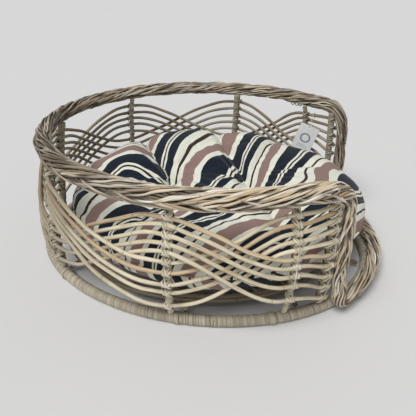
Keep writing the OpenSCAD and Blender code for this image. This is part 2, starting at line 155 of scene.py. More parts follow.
def foot_point(t, off, z):
    t = np.asarray(t, float) * D2R
    o = nrm(np.stack([np.cos(t) / foot_a, np.sin(t) / foot_b, 0 * t], -1))
    return np.stack([foot_a * np.cos(t), foot_b * np.sin(t), z + 0 * t], -1) + o * np.asarray(off, float)[..., None]


def foot_out(t):
    t = np.asarray(t, float) * D2R
    return nrm(np.stack([np.cos(t) / foot_a, np.sin(t) / foot_b, 0 * t], -1))


def rim_h(t):
    return rim_z - rim_lean * np.sin(np.asarray(t, float) * D2R)


def rim_rad(t):
    return mix(25.5, 30.0, np.maximum(0, -np.sin(np.asarray(t, float) * D2R))) / 2


def rim_point(t):
    t = np.asarray(t, float)
    return np.stack([rim_shift + rim_a * np.cos(t * D2R), rim_b * np.sin(t * D2R), rim_h(t)], -1)


def rim_out(t):
    t = np.asarray(t, float) * D2R
    return nrm(np.stack([np.cos(t) / rim_a, np.sin(t) / rim_b, 0 * t], -1))


def bez(a, b, c, u):
    u = np.asarray(u, float)[:, None]
    return a * (1 - u) ** 2 + b * 2 * u * (1 - u) + c * u * u


# smooth one-dimensional noise, from sums of sines with fixed random phases
class Wob:
    def __init__(self, seed, n=5):
        r = np.random.default_rng(seed)
        self.f = r.uniform(0.5, 2.2, n)
        self.p = r.uniform(0, 6.28, n)

    def __call__(self, x):
        x = np.asarray(x, float)
        return sum(np.sin(x * f * 6.28 + p) for f, p in zip(self.f, self.p)) / len(self.f) ** 0.5


def arclen(p, closed=False):
    d = np.linalg.norm(np.diff(p, axis=0), axis=1)
    return np.concatenate([[0], np.cumsum(d)])


def resample(p, step, closed=False):
    q = np.vstack([p, p[:1]]) if closed else p
    s = arclen(q)
    n = max(3, int(round(s[-1] / step)))
    u = np.linspace(0, s[-1], n + 1)
    r = np.stack([np.interp(u, s, q[:, i]) for i in range(3)], 1)
    return r[:-1] if closed else r


def tangents(p, closed):
    if closed:
        return nrm(np.roll(p, -1, 0) - np.roll(p, 1, 0))
    return nrm(np.gradient(p, axis=0))


# ---------------------------------------------------------------- mesh builder
class Build:
    """Collects swept tubes and strips, with what the materials read: a grain vector, a random number, a tone, which is
    partly painted shade, and a deep mask for painted shade in grooves and gaps.
    """

    def __init__(self):
        self.v, self.q, self.caps, self.n = [], [], [], 0
        self.grain, self.rnd, self.tone, self.deep = [], [], [], []

    def sweep(self, p, ref, r1, r2=None, sides=8, closed=False, rnd=None, tone=0.0, prof=None, twist=None, caps=True, deep=None):
        p = np.asarray(p, float)
        m = len(p)
        t = tangents(p, closed)
        ref = np.broadcast_to(np.asarray(ref, float), p.shape)
        e1 = nrm(ref - t * (t * ref).sum(1, keepdims=True))
        e2 = np.cross(t, e1)
        r1 = np.broadcast_to(np.asarray(r1, float), (m,))
        r2 = r1 if r2 is None else np.broadcast_to(np.asarray(r2, float), (m,))
        a = np.arange(sides) / sides * 2 * np.pi
        if prof is None:
            ca, sa = np.cos(a), np.sin(a)
        else:
            ca, sa = np.asarray(prof, float).T
            sides = len(ca)
        if twist is not None:
            tw = np.broadcast_to(np.asarray(twist, float), (m,))
            e1, e2 = e1 * np.cos(tw)[:, None] + e2 * np.sin(tw)[:, None], e2 * np.cos(tw)[:, None] - e1 * np.sin(tw)[:, None]
        x = (r1[:, None] * ca)[..., None] * e1[:, None] + (r2[:, None] * sa)[..., None] * e2[:, None] + p[:, None]
        s = np.concatenate([[0], np.cumsum(np.linalg.norm(np.diff(p, axis=0), axis=1))])
        rnd = float(rng.random()) if rnd is None else rnd
        g = np.stack(np.broadcast_arrays(r1[:, None] * ca + 37 * rnd, r2[:, None] * sa + 61 * rnd, s[:, None] + 900 * rnd), -1)
        i = np.arange(m if closed else m - 1)[:, None]
        j = np.arange(sides)[None]
        a0 = i * sides + j
        a1 = i * sides + (j + 1) % sides
        b0 = ((i + 1) % m) * sides + j
        b1 = ((i + 1) % m) * sides + (j + 1) % sides
        q = np.stack([a0, a1, b1, b0], -1).reshape(-1, 4) + self.n
        self.v.append(x.reshape(-1, 3))
        self.grain.append(g.reshape(-1, 3))
        self.rnd.append(np.full(m * sides, rnd))
        self.tone.append(np.repeat(np.broadcast_to(np.asarray(tone, float), (m,)), sides))
        self.deep.append(np.broadcast_to(0.0 if deep is None else deep(ca, sa, r1, r2), (m, sides)).reshape(-1))
        self.q.append(q)
        if not closed and caps:
            self.caps.append(self.n + np.arange(sides)[::-1])
            self.caps.append(self.n + (m - 1) * sides + np.arange(sides))
        self.n += m * sides

    def make(self, name, material, body="basket", slot=None, replaces=(), scale=MM, shift=True):
        v = np.vstack(self.v)
        if shift:
            v = v + np.array([MIDX, 0, 0])
        v = v * scale
        quads = np.vstack(self.q) if self.q else np.zeros((0, 4), int)
        me = bpy.data.meshes.new(name)
        me.vertices.add(len(v))
        me.vertices.foreach_set("co", v.astype(np.float32).ravel())
        nl = quads.size + sum(len(c) for c in self.caps)
        idx = np.concatenate([quads.ravel()] + [np.asarray(c) for c in self.caps]).astype(np.int32)
        tot = np.concatenate([np.full(len(quads), 4), np.array([len(c) for c in self.caps], int)]).astype(np.int32)
        start = np.concatenate([[0], np.cumsum(tot)[:-1]]).astype(np.int32)
        me.loops.add(nl)
        me.loops.foreach_set("vertex_index", idx)
        me.polygons.add(len(tot))
        me.polygons.foreach_set("loop_start", start)
        me.polygons.foreach_set("loop_total", tot)
        me.update(calc_edges=True)
        me.validate()
        me.polygons.foreach_set("use_smooth", np.ones(len(me.polygons), bool))
        a = me.attributes.new("grain", "FLOAT_VECTOR", "POINT")
        a.data.foreach_set("vector", (np.vstack(self.grain) * MM).astype(np.float32).ravel())
        a = me.attributes.new("rnd", "FLOAT", "POINT")
        a.data.foreach_set("value", np.concatenate(self.rnd).astype(np.float32))
        a = me.attributes.new("tone", "FLOAT", "POINT")
        a.data.foreach_set("value", np.concatenate(self.tone).astype(np.float32))
        a = me.attributes.new("deep", "FLOAT", "POINT")
        a.data.foreach_set("value", np.clip(np.concatenate(self.deep), 0, 1).astype(np.float32))
        me.materials.append(material)
        ob = bpy.data.objects.new(name, me)
        bpy.context.scene.collection.objects.link(ob)
        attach(ob, body)
        if replaces:
            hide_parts(*replaces)
        return ob


# ---------------------------------------------------------------- materials
def srgb(r, g, b):
    f = lambda c: c / 255 / 12.92 if c / 255 <= 0.04045 else ((c / 255 + 0.055) / 1.055) ** 2.4
    return (f(r), f(g), f(b), 1.0)


class Mat:
    def __init__(self, name):
        self.m = bpy.data.materials.new(name)
        self.m.use_nodes = True
        self.t = self.m.node_tree
        self.b = next(n for n in self.t.nodes if n.type == "BSDF_PRINCIPLED")

    def n(self, kind, **kw):
        x = self.t.nodes.new(kind)
        for k, v in kw.items():
            setattr(x, k, v)
        return x

    def put(self, sock, v):
        if isinstance(v, bpy.types.NodeSocket):
            self.t.links.new(v, sock)
        else:
            sock.default_value = v

    def attr(self, name, out="Fac"):
        x = self.n("ShaderNodeAttribute", attribute_type="GEOMETRY", attribute_name=name)
        return x.outputs[out]

    def obj(self):
        return self.n("ShaderNodeTexCoord").outputs["Object"]

    def scale(self, vec, s):
        x = self.n("ShaderNodeVectorMath", operation="MULTIPLY")
        self.put(x.inputs[0], vec)
        x.inputs[1].default_value = s
        return x.outputs[0]

    def noise(self, vec, scale, detail=2.0, rough=0.5, dist=0.0):
        x = self.n("ShaderNodeTexNoise")
        self.put(x.inputs["Vector"], vec)
        x.inputs["Scale"].default_value = scale
        x.inputs["Detail"].default_value = detail
        x.inputs["Roughness"].default_value = rough
        x.inputs["Distortion"].default_value = dist
        return x.outputs["Fac"]

    def math(self, op, a, b=None, c=None, clamp=False):
        x = self.n("ShaderNodeMath", operation=op, use_clamp=clamp)
        self.put(x.inputs[0], a)
        if b is not None:
            self.put(x.inputs[1], b)
        if c is not None:
            self.put(x.inputs[2], c)
        return x.outputs[0]

    def rng(self, v, a, b, c=0.0, d=1.0, smooth=False):
        x = self.n("ShaderNodeMapRange", interpolation_type="SMOOTHSTEP" if smooth else "LINEAR")
        self.put(x.inputs["Value"], v)
        for k, q in (("From Min", a), ("From Max", b), ("To Min", c), ("To Max", d)):
            x.inputs[k].default_value = q
        return x.outputs["Result"]

    def mixc(self, f, a, b, mode="MIX"):
        x = self.n("ShaderNodeMix", data_type="RGBA", blend_type=mode)
        self.put(x.inputs[0], f)
        self.put(x.inputs[6], a)
        self.put(x.inputs[7], b)
        return x.outputs[2]

    def ramp(self, f, stops, mode="LINEAR"):
        x = self.n("ShaderNodeValToRGB")
        cr = x.color_ramp
        cr.interpolation = mode
        while len(cr.elements) > 1:
            cr.elements.remove(cr.elements[-1])
        cr.elements[0].position, cr.elements[0].color = stops[0]
        for p, c in stops[1:]:
            e = cr.elements.new(p)
            e.color = c
        self.put(x.inputs["Fac"], f)
        return x.outputs["Color"]

    def sep(self, v):
        x = self.n("ShaderNodeSeparateXYZ")
        self.put(x.inputs[0], v)
        return x.outputs

    def bump(self, h, strength, dist, normal=None):
        x = self.n("ShaderNodeBump")
        x.inputs["Strength"].default_value = strength
        x.inputs["Distance"].default_value = dist
        self.put(x.inputs["Height"], h)
        if normal is not None:
            self.put(x.inputs["Normal"], normal)
        return x.outputs["Normal"]

    def set(self, **kw):
        for k, v in kw.items():
            self.put(self.b.inputs[k.replace("_", " ")], v)
        return self.m


def rattan(name, light, mid, dark, grey, rough=0.55, streak=1.0, node_gap=0.21, bump=0.35, spread=1.0, fine=1.0, tan=0.0):
    """Peeled cane: pale base, long streaks, a dull grey set by the tone attribute that is partly weathering and partly
    painted shade, a darker ring where each joint was, fine pores, and painted shade in grooves and gaps from the deep
    attribute.
    """
    m = Mat(name)
    g = m.attr("grain", "Vector")
    rnd, tone = m.attr("rnd"), m.attr("tone")
    long = m.noise(m.scale(g, (260, 260, 9)), 1.0, 3, 0.55)
    fibre = m.noise(m.scale(g, (900, 900, 22)), 1.0, 2, 0.6)
    blot = m.noise(m.scale(g, (60, 60, 26)), 1.0, 3, 0.6)
    base = m.ramp(m.math("ADD", m.math("MULTIPLY", rnd, 0.62 * spread), m.math("MULTIPLY", m.math("SUBTRACT", long, 0.5), 0.9 * streak), clamp=False),
                  [(0.0, light), (0.34, mid), (0.62, mid), (1.0, dark)])
    base = m.mixc(m.rng(blot, 0.52, 0.76, 0.0, 0.55), base, dark)
    if tan:
        base = m.mixc(m.math("MULTIPLY", m.rng(m.math("FRACT", m.math("MULTIPLY", rnd, 7.7)), 0.5, 0.72, 0.0, 1.0), tan), base, srgb(212, 178, 130))
    # the tone attribute mixes in the grey: weathering in part, and painted shade where tone follows the far side and
    # closed end
    base = m.mixc(m.math("MULTIPLY", tone, m.rng(blot, 0.2, 0.7, 1.0, 0.72)), base, grey)
    base = m.mixc(m.rng(fibre, 0.56, 0.72, 0.0, 0.42 * fine), base, tuple(c * 0.42 for c in dark[:3]) + (1,))
    # painted shade in the grooves, in the gaps between canes and between peel turns, and under the rods, carried by the
    # deep attribute; the blot noise varies how dark it is
    deep = m.attr("deep")
    base = m.mixc(m.math("MULTIPLY", deep, m.rng(blot, 0.3, 0.7, 0.95, 0.78)), base, tuple(c * 0.16 for c in dark[:3]) + (1,))
    # joints along the cane
    z = m.sep(g)[2]
    w = m.math("ABSOLUTE", m.math("SUBTRACT", m.math("FRACT", m.math("DIVIDE", m.math("ADD", z, m.math("MULTIPLY", rnd, 7.3)), node_gap)), 0.5))
    joint = m.rng(w, 0.0, 0.0045 / node_gap * 0.5, 1.0, 0.0)
    base = m.mixc(m.math("MULTIPLY", joint, 0.4), base, tuple(c * 0.35 for c in dark[:3]) + (1,))
    h = m.math("ADD", m.math("MULTIPLY", long, 0.6), m.math("ADD", m.math("MULTIPLY", fibre, 0.35), m.math("MULTIPLY", joint, -0.5)))
    nb = m.bump(h, bump, 0.0006)
    r = m.rng(m.noise(m.scale(g, (300, 300, 40)), 1.0, 2), 0.3, 0.7, rough - 0.1, rough + 0.14)
    return m.set(Base_Color=base, Roughness=r, Normal=nb)


mat_rod = rattan("rattan_rod", srgb(238, 228, 202), srgb(217, 204, 174), srgb(172, 142, 105), srgb(128, 117, 98), 0.46, 1.05, 0.23, 0.4, 1.0, 1.5)
mat_rod_tan = rattan("rattan_rod_tan", srgb(226, 207, 174), srgb(199, 174, 137), srgb(146, 117, 84), srgb(118, 104, 85), 0.46, 1.0, 0.23, 0.4, 1.0, 1.5)
mat_stake = rattan("rattan_stake", srgb(214, 206, 184), srgb(188, 177, 152), srgb(140, 122, 98), srgb(136, 127, 110), 0.55, 1.0, 0.19, 0.4)
mat_braid = rattan("willow_braid", srgb(255, 251, 236), srgb(243, 230, 206), srgb(140, 116, 92), srgb(86, 76, 68), 0.44, 1.6, 0.16, 0.5, 1.5, 1.5, 0.45)
mat_wrap = rattan("peel_wrap", srgb(228, 219, 200), srgb(194, 184, 163), srgb(116, 104, 86), srgb(142, 133, 117), 0.58, 1.0, 0.3, 0.4, 1.4, 1.3)
mat_tie = rattan("peel_tie", srgb(240, 232, 210), srgb(214, 204, 180), srgb(156, 140, 116), srgb(146, 137, 120), 0.52, 0.9, 0.3, 0.35, 1.2)
# slats, seat rings and pegs are darker copies of the cane: painted shade for where they sit, under the cushion
mat_slat = rattan("cane_slat", srgb(128, 114, 94), srgb(100, 88, 72), srgb(62, 52, 41), srgb(84, 77, 66), 0.6, 1.0, 0.2, 0.5)
mat_seat = rattan("seat_pole", srgb(146, 134, 112), srgb(116, 104, 85), srgb(74, 63, 48), srgb(100, 91, 76), 0.6, 1.0, 0.2, 0.5)
# the hidden poles are coloured very dark: painted shade, which shows in the gaps between the braid canes and between
# the foot ring's peel turns
mat_core = rattan("hidden_pole", srgb(66, 51, 38), srgb(50, 39, 29), srgb(32, 24, 18), srgb(48, 40, 32), 0.7, 1.0, 0.2, 0.5)


# ---------------------------------------------------------------- wave rods
def rod_line(w, i, per=22):
    T, Z, O = [stake_t[0][1] + 1.3], [tie_z(w, i, 0)], [0.0]
    for k in range(8):
        z0, z1 = tie_z(w, i, k), tie_z(w, i, k + 1)
        n = 8 if k in (0, 7) else per
        u = np.arange(n) / n
        z = mix(z0, z1, (1 - np.cos(np.pi * u)) / 2)
        t = mix(st(k, z0), st(k + 1, z1), u)
        o = 4.1 * side(w, k) * np.minimum(1, 2.2 * np.sin(np.pi * u))
        T += list(t); Z += list(z); O += list(o)
    T += [stake_t[8][1], stake_t[8][1] - 1.3]
    Z += [tie_z(w, i, 8)] * 2
    O += [0.0, 0.0]
    return np.array(T), np.array(Z), np.array(O)


def far_tone(t, z=120):
    """0 on the pale near side, 1 on the greyer far side and closed end, whose grey is partly weathering and partly
    painted shade.
    """
    a = np.abs(np.asarray(t, float))
    return sstep((a - 120) / 38)


tan_rods = {(1, 1): 0.5, (0, 0): 0.2, (0, 3): 0.45}
for w in (0, 1):
    for i in range(5):
        b = Build()
        T, Z, O = rod_line(w, i)
        p = wall(T, Z, O)
        s = arclen(p)
        wz, wo, wr = Wob(100 + w * 9 + i), Wob(200 + w * 9 + i), Wob(300 + w * 9 + i)
        p = p + out(T, Z) * (0.35 * wo(s / 95))[:, None]
        p[:, 2] += 0.7 * wz(s / 130) * np.clip(np.minimum(s, s[-1] - s) / 30, 0, 1)
        r = 2.95 + 0.12 * wr(s / 70)
        k = ((s + 37 * i + 90 * w) / 230) % 1
        r = r + 0.28 * np.exp(-((k - 0.5) * 230 / 3.2) ** 2)
        # painted shade: deep darkens the underside of each rod; tone greys the rods towards the closed end, partly
        # weathering and partly painted shade
        b.sweep(p, out(T, Z), r, sides=12, rnd=tan_rods.get((w, i), 0.05 + 0.3 * rng.random()), tone=0.85 * sstep((np.abs(T) - 96) / 40),
                deep=lambda ca, sa, r1, r2: 0.85 * sstep((-sa - 0.12) / 0.62))
        b.make(f"wave_{'ab'[w]}_rod_{i + 1}_cane", mat_rod_tan if (w, i) in ((1, 1), (0, 0)) else mat_rod, slot="wave_rod", replaces=[f"wave_{'ab'[w]}_rod_{i + 1}"])

# ---------------------------------------------------------------- stakes and jamb poles
post_names = ["near_jamb_pole", "near_entrance_stake", "near_side_stake", "near_end_stake", "end_stake", "far_end_stake", "far_side_stake", "far_entrance_stake", "far_jamb_pole"]


def post_r(k):
    return jamb_r if k in (0, 8) else stake_r


def post_line(k, z):
    r = post_r(k)
    return wall(st(k, z), z, -rod_r - r - 0.3)


for k, name in enumerate(post_names):
    b = Build()
    z = np.linspace(17.6, float(rim_h(stake_t[k][0])) - 9, 60)
    p = post_line(k, z)
    wr = Wob(400 + k)
    r = post_r(k) - 0.1 + 0.16 * wr(z / 60) + 0.35 * np.exp(-((z - 70 - 11 * k) / 3) ** 2)
    # tone greys the far stakes and the far jamb pole: partly weathering, partly painted shade
    b.sweep(p, out(st(k, z), z), r, sides=16, tone=0.85 * far_tone(stake_t[k][0]) if k != 8 else 0.8)
    b.make(name + "_cane", mat_stake, slot="jamb_pole" if k in (0, 8) else "stake", replaces=[name])


# ---------------------------------------------------------------- peel lashings
def hull2(pts):
    pts = sorted(map(tuple, pts))
    def half(ps):
        h = []
        for p in ps:
            while len(h) >= 2 and (h[-1][0] - h[-2][0]) * (p[1] - h[-2][1]) - (h[-1][1] - h[-2][1]) * (p[0] - h[-2][0]) <= 0:
                h.pop()
            h.append(p)
        return h
    lo, hi = half(pts), half(pts[::-1])
    return np.array(lo[:-1] + hi[:-1])


def strip_prof(n=8):
    a = np.arange(n) / n * 2 * np.pi
    c, s = np.cos(a), np.sin(a)
    return np.stack([np.sign(c) * np.abs(c) ** 0.8, np.sign(s) * np.abs(s) ** 0.6], 1)


PROF = strip_prof()
# painted shade: strip_edge darkens the inner face and both edges of each peel turn, where the turns meet
strip_edge = lambda ca, sa, r1, r2: np.where(ca < -0.1, 0.8, 0.0) + np.where(np.abs(sa) > 0.95, 0.4, 0.0) + 0 * r1[:, None]


def loop_band(b, k, z, zr, ang, m_off, grow, width, thick, rnd, tone):
    """One turn of peel round the post and the rod, in a plane turned ang degrees from level."""
    r = post_r(k)
    t = st(k, z)
    n = out(t, z)
    up = np.array([0, 0, 1.0])
    h = np.cross(up, n)
    a = ang * D2R
    d = h * np.cos(a) + up * np.sin(a)
    m = np.cross(n, d)
    c = wall(t, z, 0.0)
    # post: axis up; rod: axis h. centres of their sections in the plane n, d at distance m_off along m
    e = np.arange(28) / 28 * 2 * np.pi
    ce, se = np.cos(e), np.sin(e)
    pts = []
    if abs(np.cos(a)) > 0.05:
        lam = m_off / (m @ up) if abs(m @ up) > 0.05 else 0
        q = lam * (up @ d)
        pts += list(zip(-rod_r - r - 0.3 + (r + grow) * ce, q + (r + grow) / max(0.25, abs(np.cos(a))) * se))
    if abs(np.sin(a)) > 0.05:
        lam = m_off / (m @ h) if abs(m @ h) > 0.05 else 0
        q = lam * (h @ d)
        pts += list(zip((rod_r + grow) * ce, q + (rod_r + grow) / max(0.25, abs(np.sin(a))) * se))
    hl = hull2(pts)
    P = c + hl[:, :1] * n + hl[:, 1:] * d + m * m_off
    P = resample(P, 1.5, closed=True)
    cen = P.mean(0)
    ref = P - cen
    b.sweep(P, ref, thick / 2, width / 2, closed=True, rnd=rnd, tone=tone, prof=PROF, deep=strip_edge)


def wrap_ring(b, k, z, grow, width, thick, slope, rnd, tone):
    """One turn of peel round the post alone."""
    r = post_r(k) + grow
    e = np.arange(18) / 18 * 2 * np.pi
    zz = z + slope * np.sin(e)
    t = st(k, z)
    n = out(t, z)
    h = np.cross(np.array([0, 0, 1.0]), n)
    c = post_line(k, zz)
    P = c + np.cos(e)[:, None] * n * r + np.sin(e)[:, None] * h * r
    b.sweep(P, P - c, thick / 2, width / 2, closed=True, rnd=rnd, tone=tone, prof=PROF, deep=strip_edge)


post_keys = ["near_jamb", "near_entrance", "near_side", "near_end", "end", "far_end", "far_side", "far_entrance", "far_jamb"]
for k, key in enumerate(post_keys):
    b = Build()
    # tone: pale on the near posts, greyer on the end and far posts; partly weathering, partly painted shade
    tone = 0.12 if k in (0, 1, 2) else (0.6 if k == 3 else 0.85)
    zs = sorted(ties[k])
    for i, z in enumerate(zs):
        r0 = 0.15 + 0.5 * rng.random()
        if k == 1:
            turns = [(45, -1.2, .55), (45, 1.4, .6), (-45, -1.3, 1.2), (-45, 1.3, 1.25), (90, -2.2, 1.5), (90, 2.0, 1.6)]
        elif k == 0:
            turns = [(45, -1.5, .55), (45, 1.2, .6), (-45, 0.2, 1.2), (30, 3.0, 1.5), (90, 0.6, 1.7)]
        elif k in (2, 3):
            turns = [(47, -1.75, .55), (47, 1.75, .6), (-47, -1.75, 1.3), (-47, 1.75, 1.35)]
        elif k == 8:
            turns = [(40, -0.8, .45), (-40, 0.8, .75)]
        elif k in (4, 6):
            turns = [(45, -2.2, .55), (45, 0.6, .6), (-45, -2.2, 1.25), (-45, 0.6, 1.3)]
        else:
            turns = [(45, -1.2, .55), (45, 1.3, .6), (-45, 0, 1.2)]
        for a, mo, gr in turns:
            loop_band(b, k, z + rng.normal() * 0.3, z, a + rng.normal() * 4, mo + rng.normal() * 0.2, gr, (3.5 if k in (2, 3) else 2.6) + rng.normal() * 0.15, 1.0, min(1, max(0, r0 + 0.18 * rng.normal())), tone)
    # turns between the ties
    gaps = [(17.5, zs[0] - 6.5)] + [(zs[i] + 6.5, zs[i + 1] - 6.5) for i in range(9)] + [(zs[9] + 6.5, float(rim_h(stake_t[k][0])) - 13)]
    for lo, hi in gaps:
        if k in (4, 6, 8, 0, 2, 3):
            stp, gr, sl, th = {4: (2.35, 1.6, .5, 2.6), 6: (2.35, 1.6, .5, 2.6), 8: (2.9, .55, .4, .9), 0: (4.0, .55, 1.6, .9), 2: (3.1, .6, 1.5, 1.0), 3: (3.1, .6, 1.5, 1.0)}[k]
        else:
            stp, gr, sl, th = {1: (7.5, .5, 3.0, .85), 5: (6.0, .5, 2.4, .85), 7: (9.0, .5, 3.2, .8)}[k]
        n = int(max(0, (hi - lo)) / stp)
        if k in (4, 6, 8):
            lo, hi = lo - 3.2, hi + 3.2
            n = int(max(1, (hi - lo)) / stp)
        for j in range(n):
            z = lo + (j + 0.5) * (hi - lo) / n
            wrap_ring(b, k, z + rng.normal() * 0.12, gr + rng.normal() * 0.08, min(stp * 0.94, 2.7), th, sl * (1 + 0.2 * rng.normal()), min(1, max(0, 0.42 + 0.2 * rng.normal())), tone)
    if k == 7:
        # short curled ends of peel left under the rim, beside this stake
        for j, dt in enumerate((3.4, 5.0, 6.9)):
            t = stake_t[7][0] + dt
            e = np.arange(18) / 18 * 2 * np.pi
            o3, up = rim_out(np.array([t]))[0], np.array([0, 0, 1.0])
            h3 = np.cross(up, o3)
            c = rim_point(np.array([t]))[0] - up * (float(rim_rad(np.array([t]))[0]) + 1.4)
            P = c + (3.3 * np.cos(e))[:, None] * nrm(h3 + (0.5 - 0.5 * j) * o3) + (3.0 * np.sin(e))[:, None] * up + (0.9 * np.sin(2 * e + j))[:, None] * o3
            b.sweep(P, P - c, 0.85, 1.0, closed=True, rnd=0.5, tone=0.9)
    b.make(key + "_peel", mat_tie, slot="peel_tie", replaces=[key + "_lashings"])

# ---------------------------------------------------------------- foot ring: pole with peel wound round it
b = Build()
ts = np.arange(360) * 1.0
b.sweep(foot_point(ts, 0 * ts, foot_z), foot_out(ts), 6.95, sides=20, closed=True)
b.make("foot_ring_cane", mat_core, slot="bare_pole", replaces=["foot_ring_pole"])

b = Build()
# the wrap's turns
path_t = np.linspace(0, -360, 2881)
path_p = foot_point(path_t, 0 * path_t, foot_z)
path_s = arclen(path_p)
s = 0.0
n_turn = 0
# painted shade: seam darkens the inner face and both edges of each peel turn, where the turns meet
seam = lambda ca, sa, r1, r2: np.where(ca < -0.1, 0.7, 0.0) + np.where(np.abs(sa) > 0.95, 0.62, 0.0) + 0 * r1[:, None]
while s < path_s[-1] - 1.4:
    t = float(np.interp(s, path_s, path_t))
    w = 2.0 + 0.14 * rng.normal()
    e = np.arange(15) / 15 * 2 * np.pi
    c, n = foot_point(np.array([t]), np.array([0.0]), foot_z)[0], foot_out(np.array([t]))[0]
    tan = np.cross(np.array([0, 0, 1.0]), n)
    up = np.array([0, 0, 1.0])
    rr = 8.05 + 0.14 * rng.normal()
    zc = np.sin(e) * rr
    cl = -foot_z + 0.45
    P = c + np.cos(e)[:, None] * n * rr + np.maximum(zc, cl)[:, None] * up + tan * ((0.9 * np.cos(e + 0.7) + 0.15 * rng.normal()))[:, None]
    # tone: random per turn, plus far_tone, which greys the far side partly as weathering and partly as painted shade
    b.sweep(P, np.cos(e)[:, None] * n + np.sin(e)[:, None] * up, 0.85, w / 2, closed=True, rnd=float(np.clip(0.42 + 0.19 * rng.normal(), 0, 1)), tone=float(0.12 + 0.3 * rng.random() + 0.4 * far_tone(t if t > -180 else -360 - t)), prof=PROF, deep=seam)
    s += w * 1.0
    n_turn += 1
b.make("foot_ring_peel", mat_wrap, slot="peel_binding", replaces=["foot_ring_binding"])

# loops at the foot of each stake
b = Build()
for t0 in (-60, -88, -132.5, -171, -222.5, -268, -300):
    for j in range(3):
        t = t0 + (j - 1) * 0.62
        e = np.arange(22) / 22 * 2 * np.pi
        c, n = foot_point(np.array([t]), np.array([0.0]), foot_z)[0], foot_out(np.array([t]))[0]
        tan = np.cross(np.array([0, 0, 1.0]), n)
        rr = 9.5 + 0.15 * rng.normal()
        P = c + np.cos(e)[:, None] * n * rr + np.maximum(np.sin(e) * rr, -foot_z + 0.5)[:, None] * np.array([0, 0, 1.0]) + tan * (1.2 * np.cos(e + j))[:, None]
        # tone greys the loops, and more on the far side: partly weathering, partly painted shade
        b.sweep(P, np.cos(e)[:, None] * n + np.sin(e)[:, None] * np.array([0, 0, 1.0]), 0.7, 1.25, closed=True, rnd=float(0.2 + rng.random() * 0.6), tone=float(0.55 + 0.3 * far_tone(t if t > -180 else -360 - t)), prof=PROF)
b.make("foot_peel_loops", mat_tie, slot="peel_tie", replaces=["foot_lashings"])


# ---------------------------------------------------------------- seat rings, pegs, slats
def seat_point(t, z):
    t = np.asarray(t, float) * D2R
    return np.stack([seat_x + seat_a * np.cos(t), seat_b * np.sin(t), z + 0 * t], -1)


for name, z, sd in (("seat_ring_lower", seat_z1, 1), ("seat_ring_upper", seat_z2, 2)):
    b = Build()
    ts = np.arange(0, 360, 1.5)
    wr = Wob(500 + sd)
    b.sweep(seat_point(ts, z), foot_out(ts), 4.35 + 0.12 * wr(np.round(ts) / 60), sides=14, closed=True, tone=0.15)
    b.make(name + "_cane", mat_seat, slot="seat_frame", replaces=[name])

b, bl = Build(), Build()
for t in (-8, -50, -86, -134, 180, 134, 86, 50):
    a = foot_point(np.array([t]), np.array([-foot_r - 3.6]), foot_z + 2)[0]
    f = foot_point(np.array([t]), np.array([0.0]), 0)[0]
    u = math.degrees(math.atan2(f[1] / seat_b, (f[0] - seat_x) / seat_a))
    s0 = seat_point(np.array([u]), 0)[0]
    d = nrm(np.array([f[0] - s0[0], f[1] - s0[1], 0]))
    e = np.array([s0[0], s0[1], seat_z1 - 5.2]) + d * 4.5
    q = np.linspace(0, 1, 14)[:, None]
    p = a + (e - a) * q
    ref = np.cross(nrm(e - a), d)
    rr = 3.4 + 0.1 * np.cos(q[:, 0] * 9)
    rr[0] *= 0.86
    rr[-1] *= 0.86
    b.sweep(p, ref, rr, sides=14)
    L = float(np.linalg.norm(e - a))
    dd = nrm(e - a)
    e1 = nrm(ref)
    e2 = np.cross(dd, e1)
    for j in range(4):
        c = a + dd * (L * 0.33 + j * 1.9)
        g = np.arange(18) / 18 * 2 * np.pi
        P = c + (np.cos(g)[:, None] * e1 + np.sin(g)[:, None] * e2) * 3.95 + dd * (0.5 * np.sin(g))[:, None]
        bl.sweep(P, P - c, 0.45, 1.0, closed=True, prof=PROF, rnd=float(rng.random()))
b.make("seat_pegs_cane", mat_seat, slot="seat_frame", replaces=["seat_ring_pegs"])
bl.make("peg_peel", mat_tie, slot="peel_tie", replaces=["peg_lashings"])


def slat_len(s):
    c, n = math.cos(slat_angle * D2R), math.sin(slat_angle * D2R)
    A = (c / seat_a) ** 2 + (n / seat_b) ** 2
    B = 2 * (-s * n * c / seat_a ** 2 + s * c * n / seat_b ** 2)
    C = (s * n / seat_a) ** 2 + (s * c / seat_b) ** 2 - 1
    q = math.sqrt(max(0, B * B - 4 * A * C))
    return (-B - q) / (2 * A), (-B + q) / (2 * A)


for i in range(1, 10):
    b = Build()
    s = (i - 5) * slat_pitch
    e0, e1 = slat_len(s)
    L = e1 - e0 + 10
    u = np.linspace(-L / 2, L / 2, max(12, int(L / 9)))
    d = np.array([math.cos(slat_angle * D2R), math.sin(slat_angle * D2R), 0])
    n = np.array([-d[1], d[0], 0])
    c = np.array([seat_x, 0, slat_z]) + d * (e0 + e1) / 2 + n * s
    wr = Wob(600 + i)
    p = c + u[:, None] * d + n * (0.5 * wr(u / 160))[:, None]
    a = np.arange(12) / 12 * 2 * np.pi
    prof = np.stack([np.sign(np.cos(a)) * np.abs(np.cos(a)) ** 0.55, np.sign(np.sin(a)) * np.abs(np.sin(a)) ** 0.6], 1)
    prof[:, 1] = np.where(prof[:, 1] < 0, np.maximum(prof[:, 1], -0.92), prof[:, 1])
    b.sweep(p, n, slat_w / 2 - 0.1 + 0.12 * wr(u / 45), slat_t / 2 - 0.05, prof=prof, tone=0.2)
    b.make(f"floor_slat_{i}_cane", mat_slat, slot="floor_slat", replaces=[f"floor_slat_{i}"])

# ---------------------------------------------------------------- braid
rim_end, jamb_braid_t = 46.0, 37.7


def near_k(q, k):
    return sstep(k) if q < 0 else 0 * k


def jamb_line(z, q):
    z = np.asarray(z, float)
    return wall(q * (jamb_braid_t - 0.3 * near_k(q, (66 - z) / 34) + 2.6 * near_k(q, (48 - z) / 26)), z, mix(5, 2, sstep((z - 26) / 60)) + 10.5 * near_k(q, (66 - z) / 34))


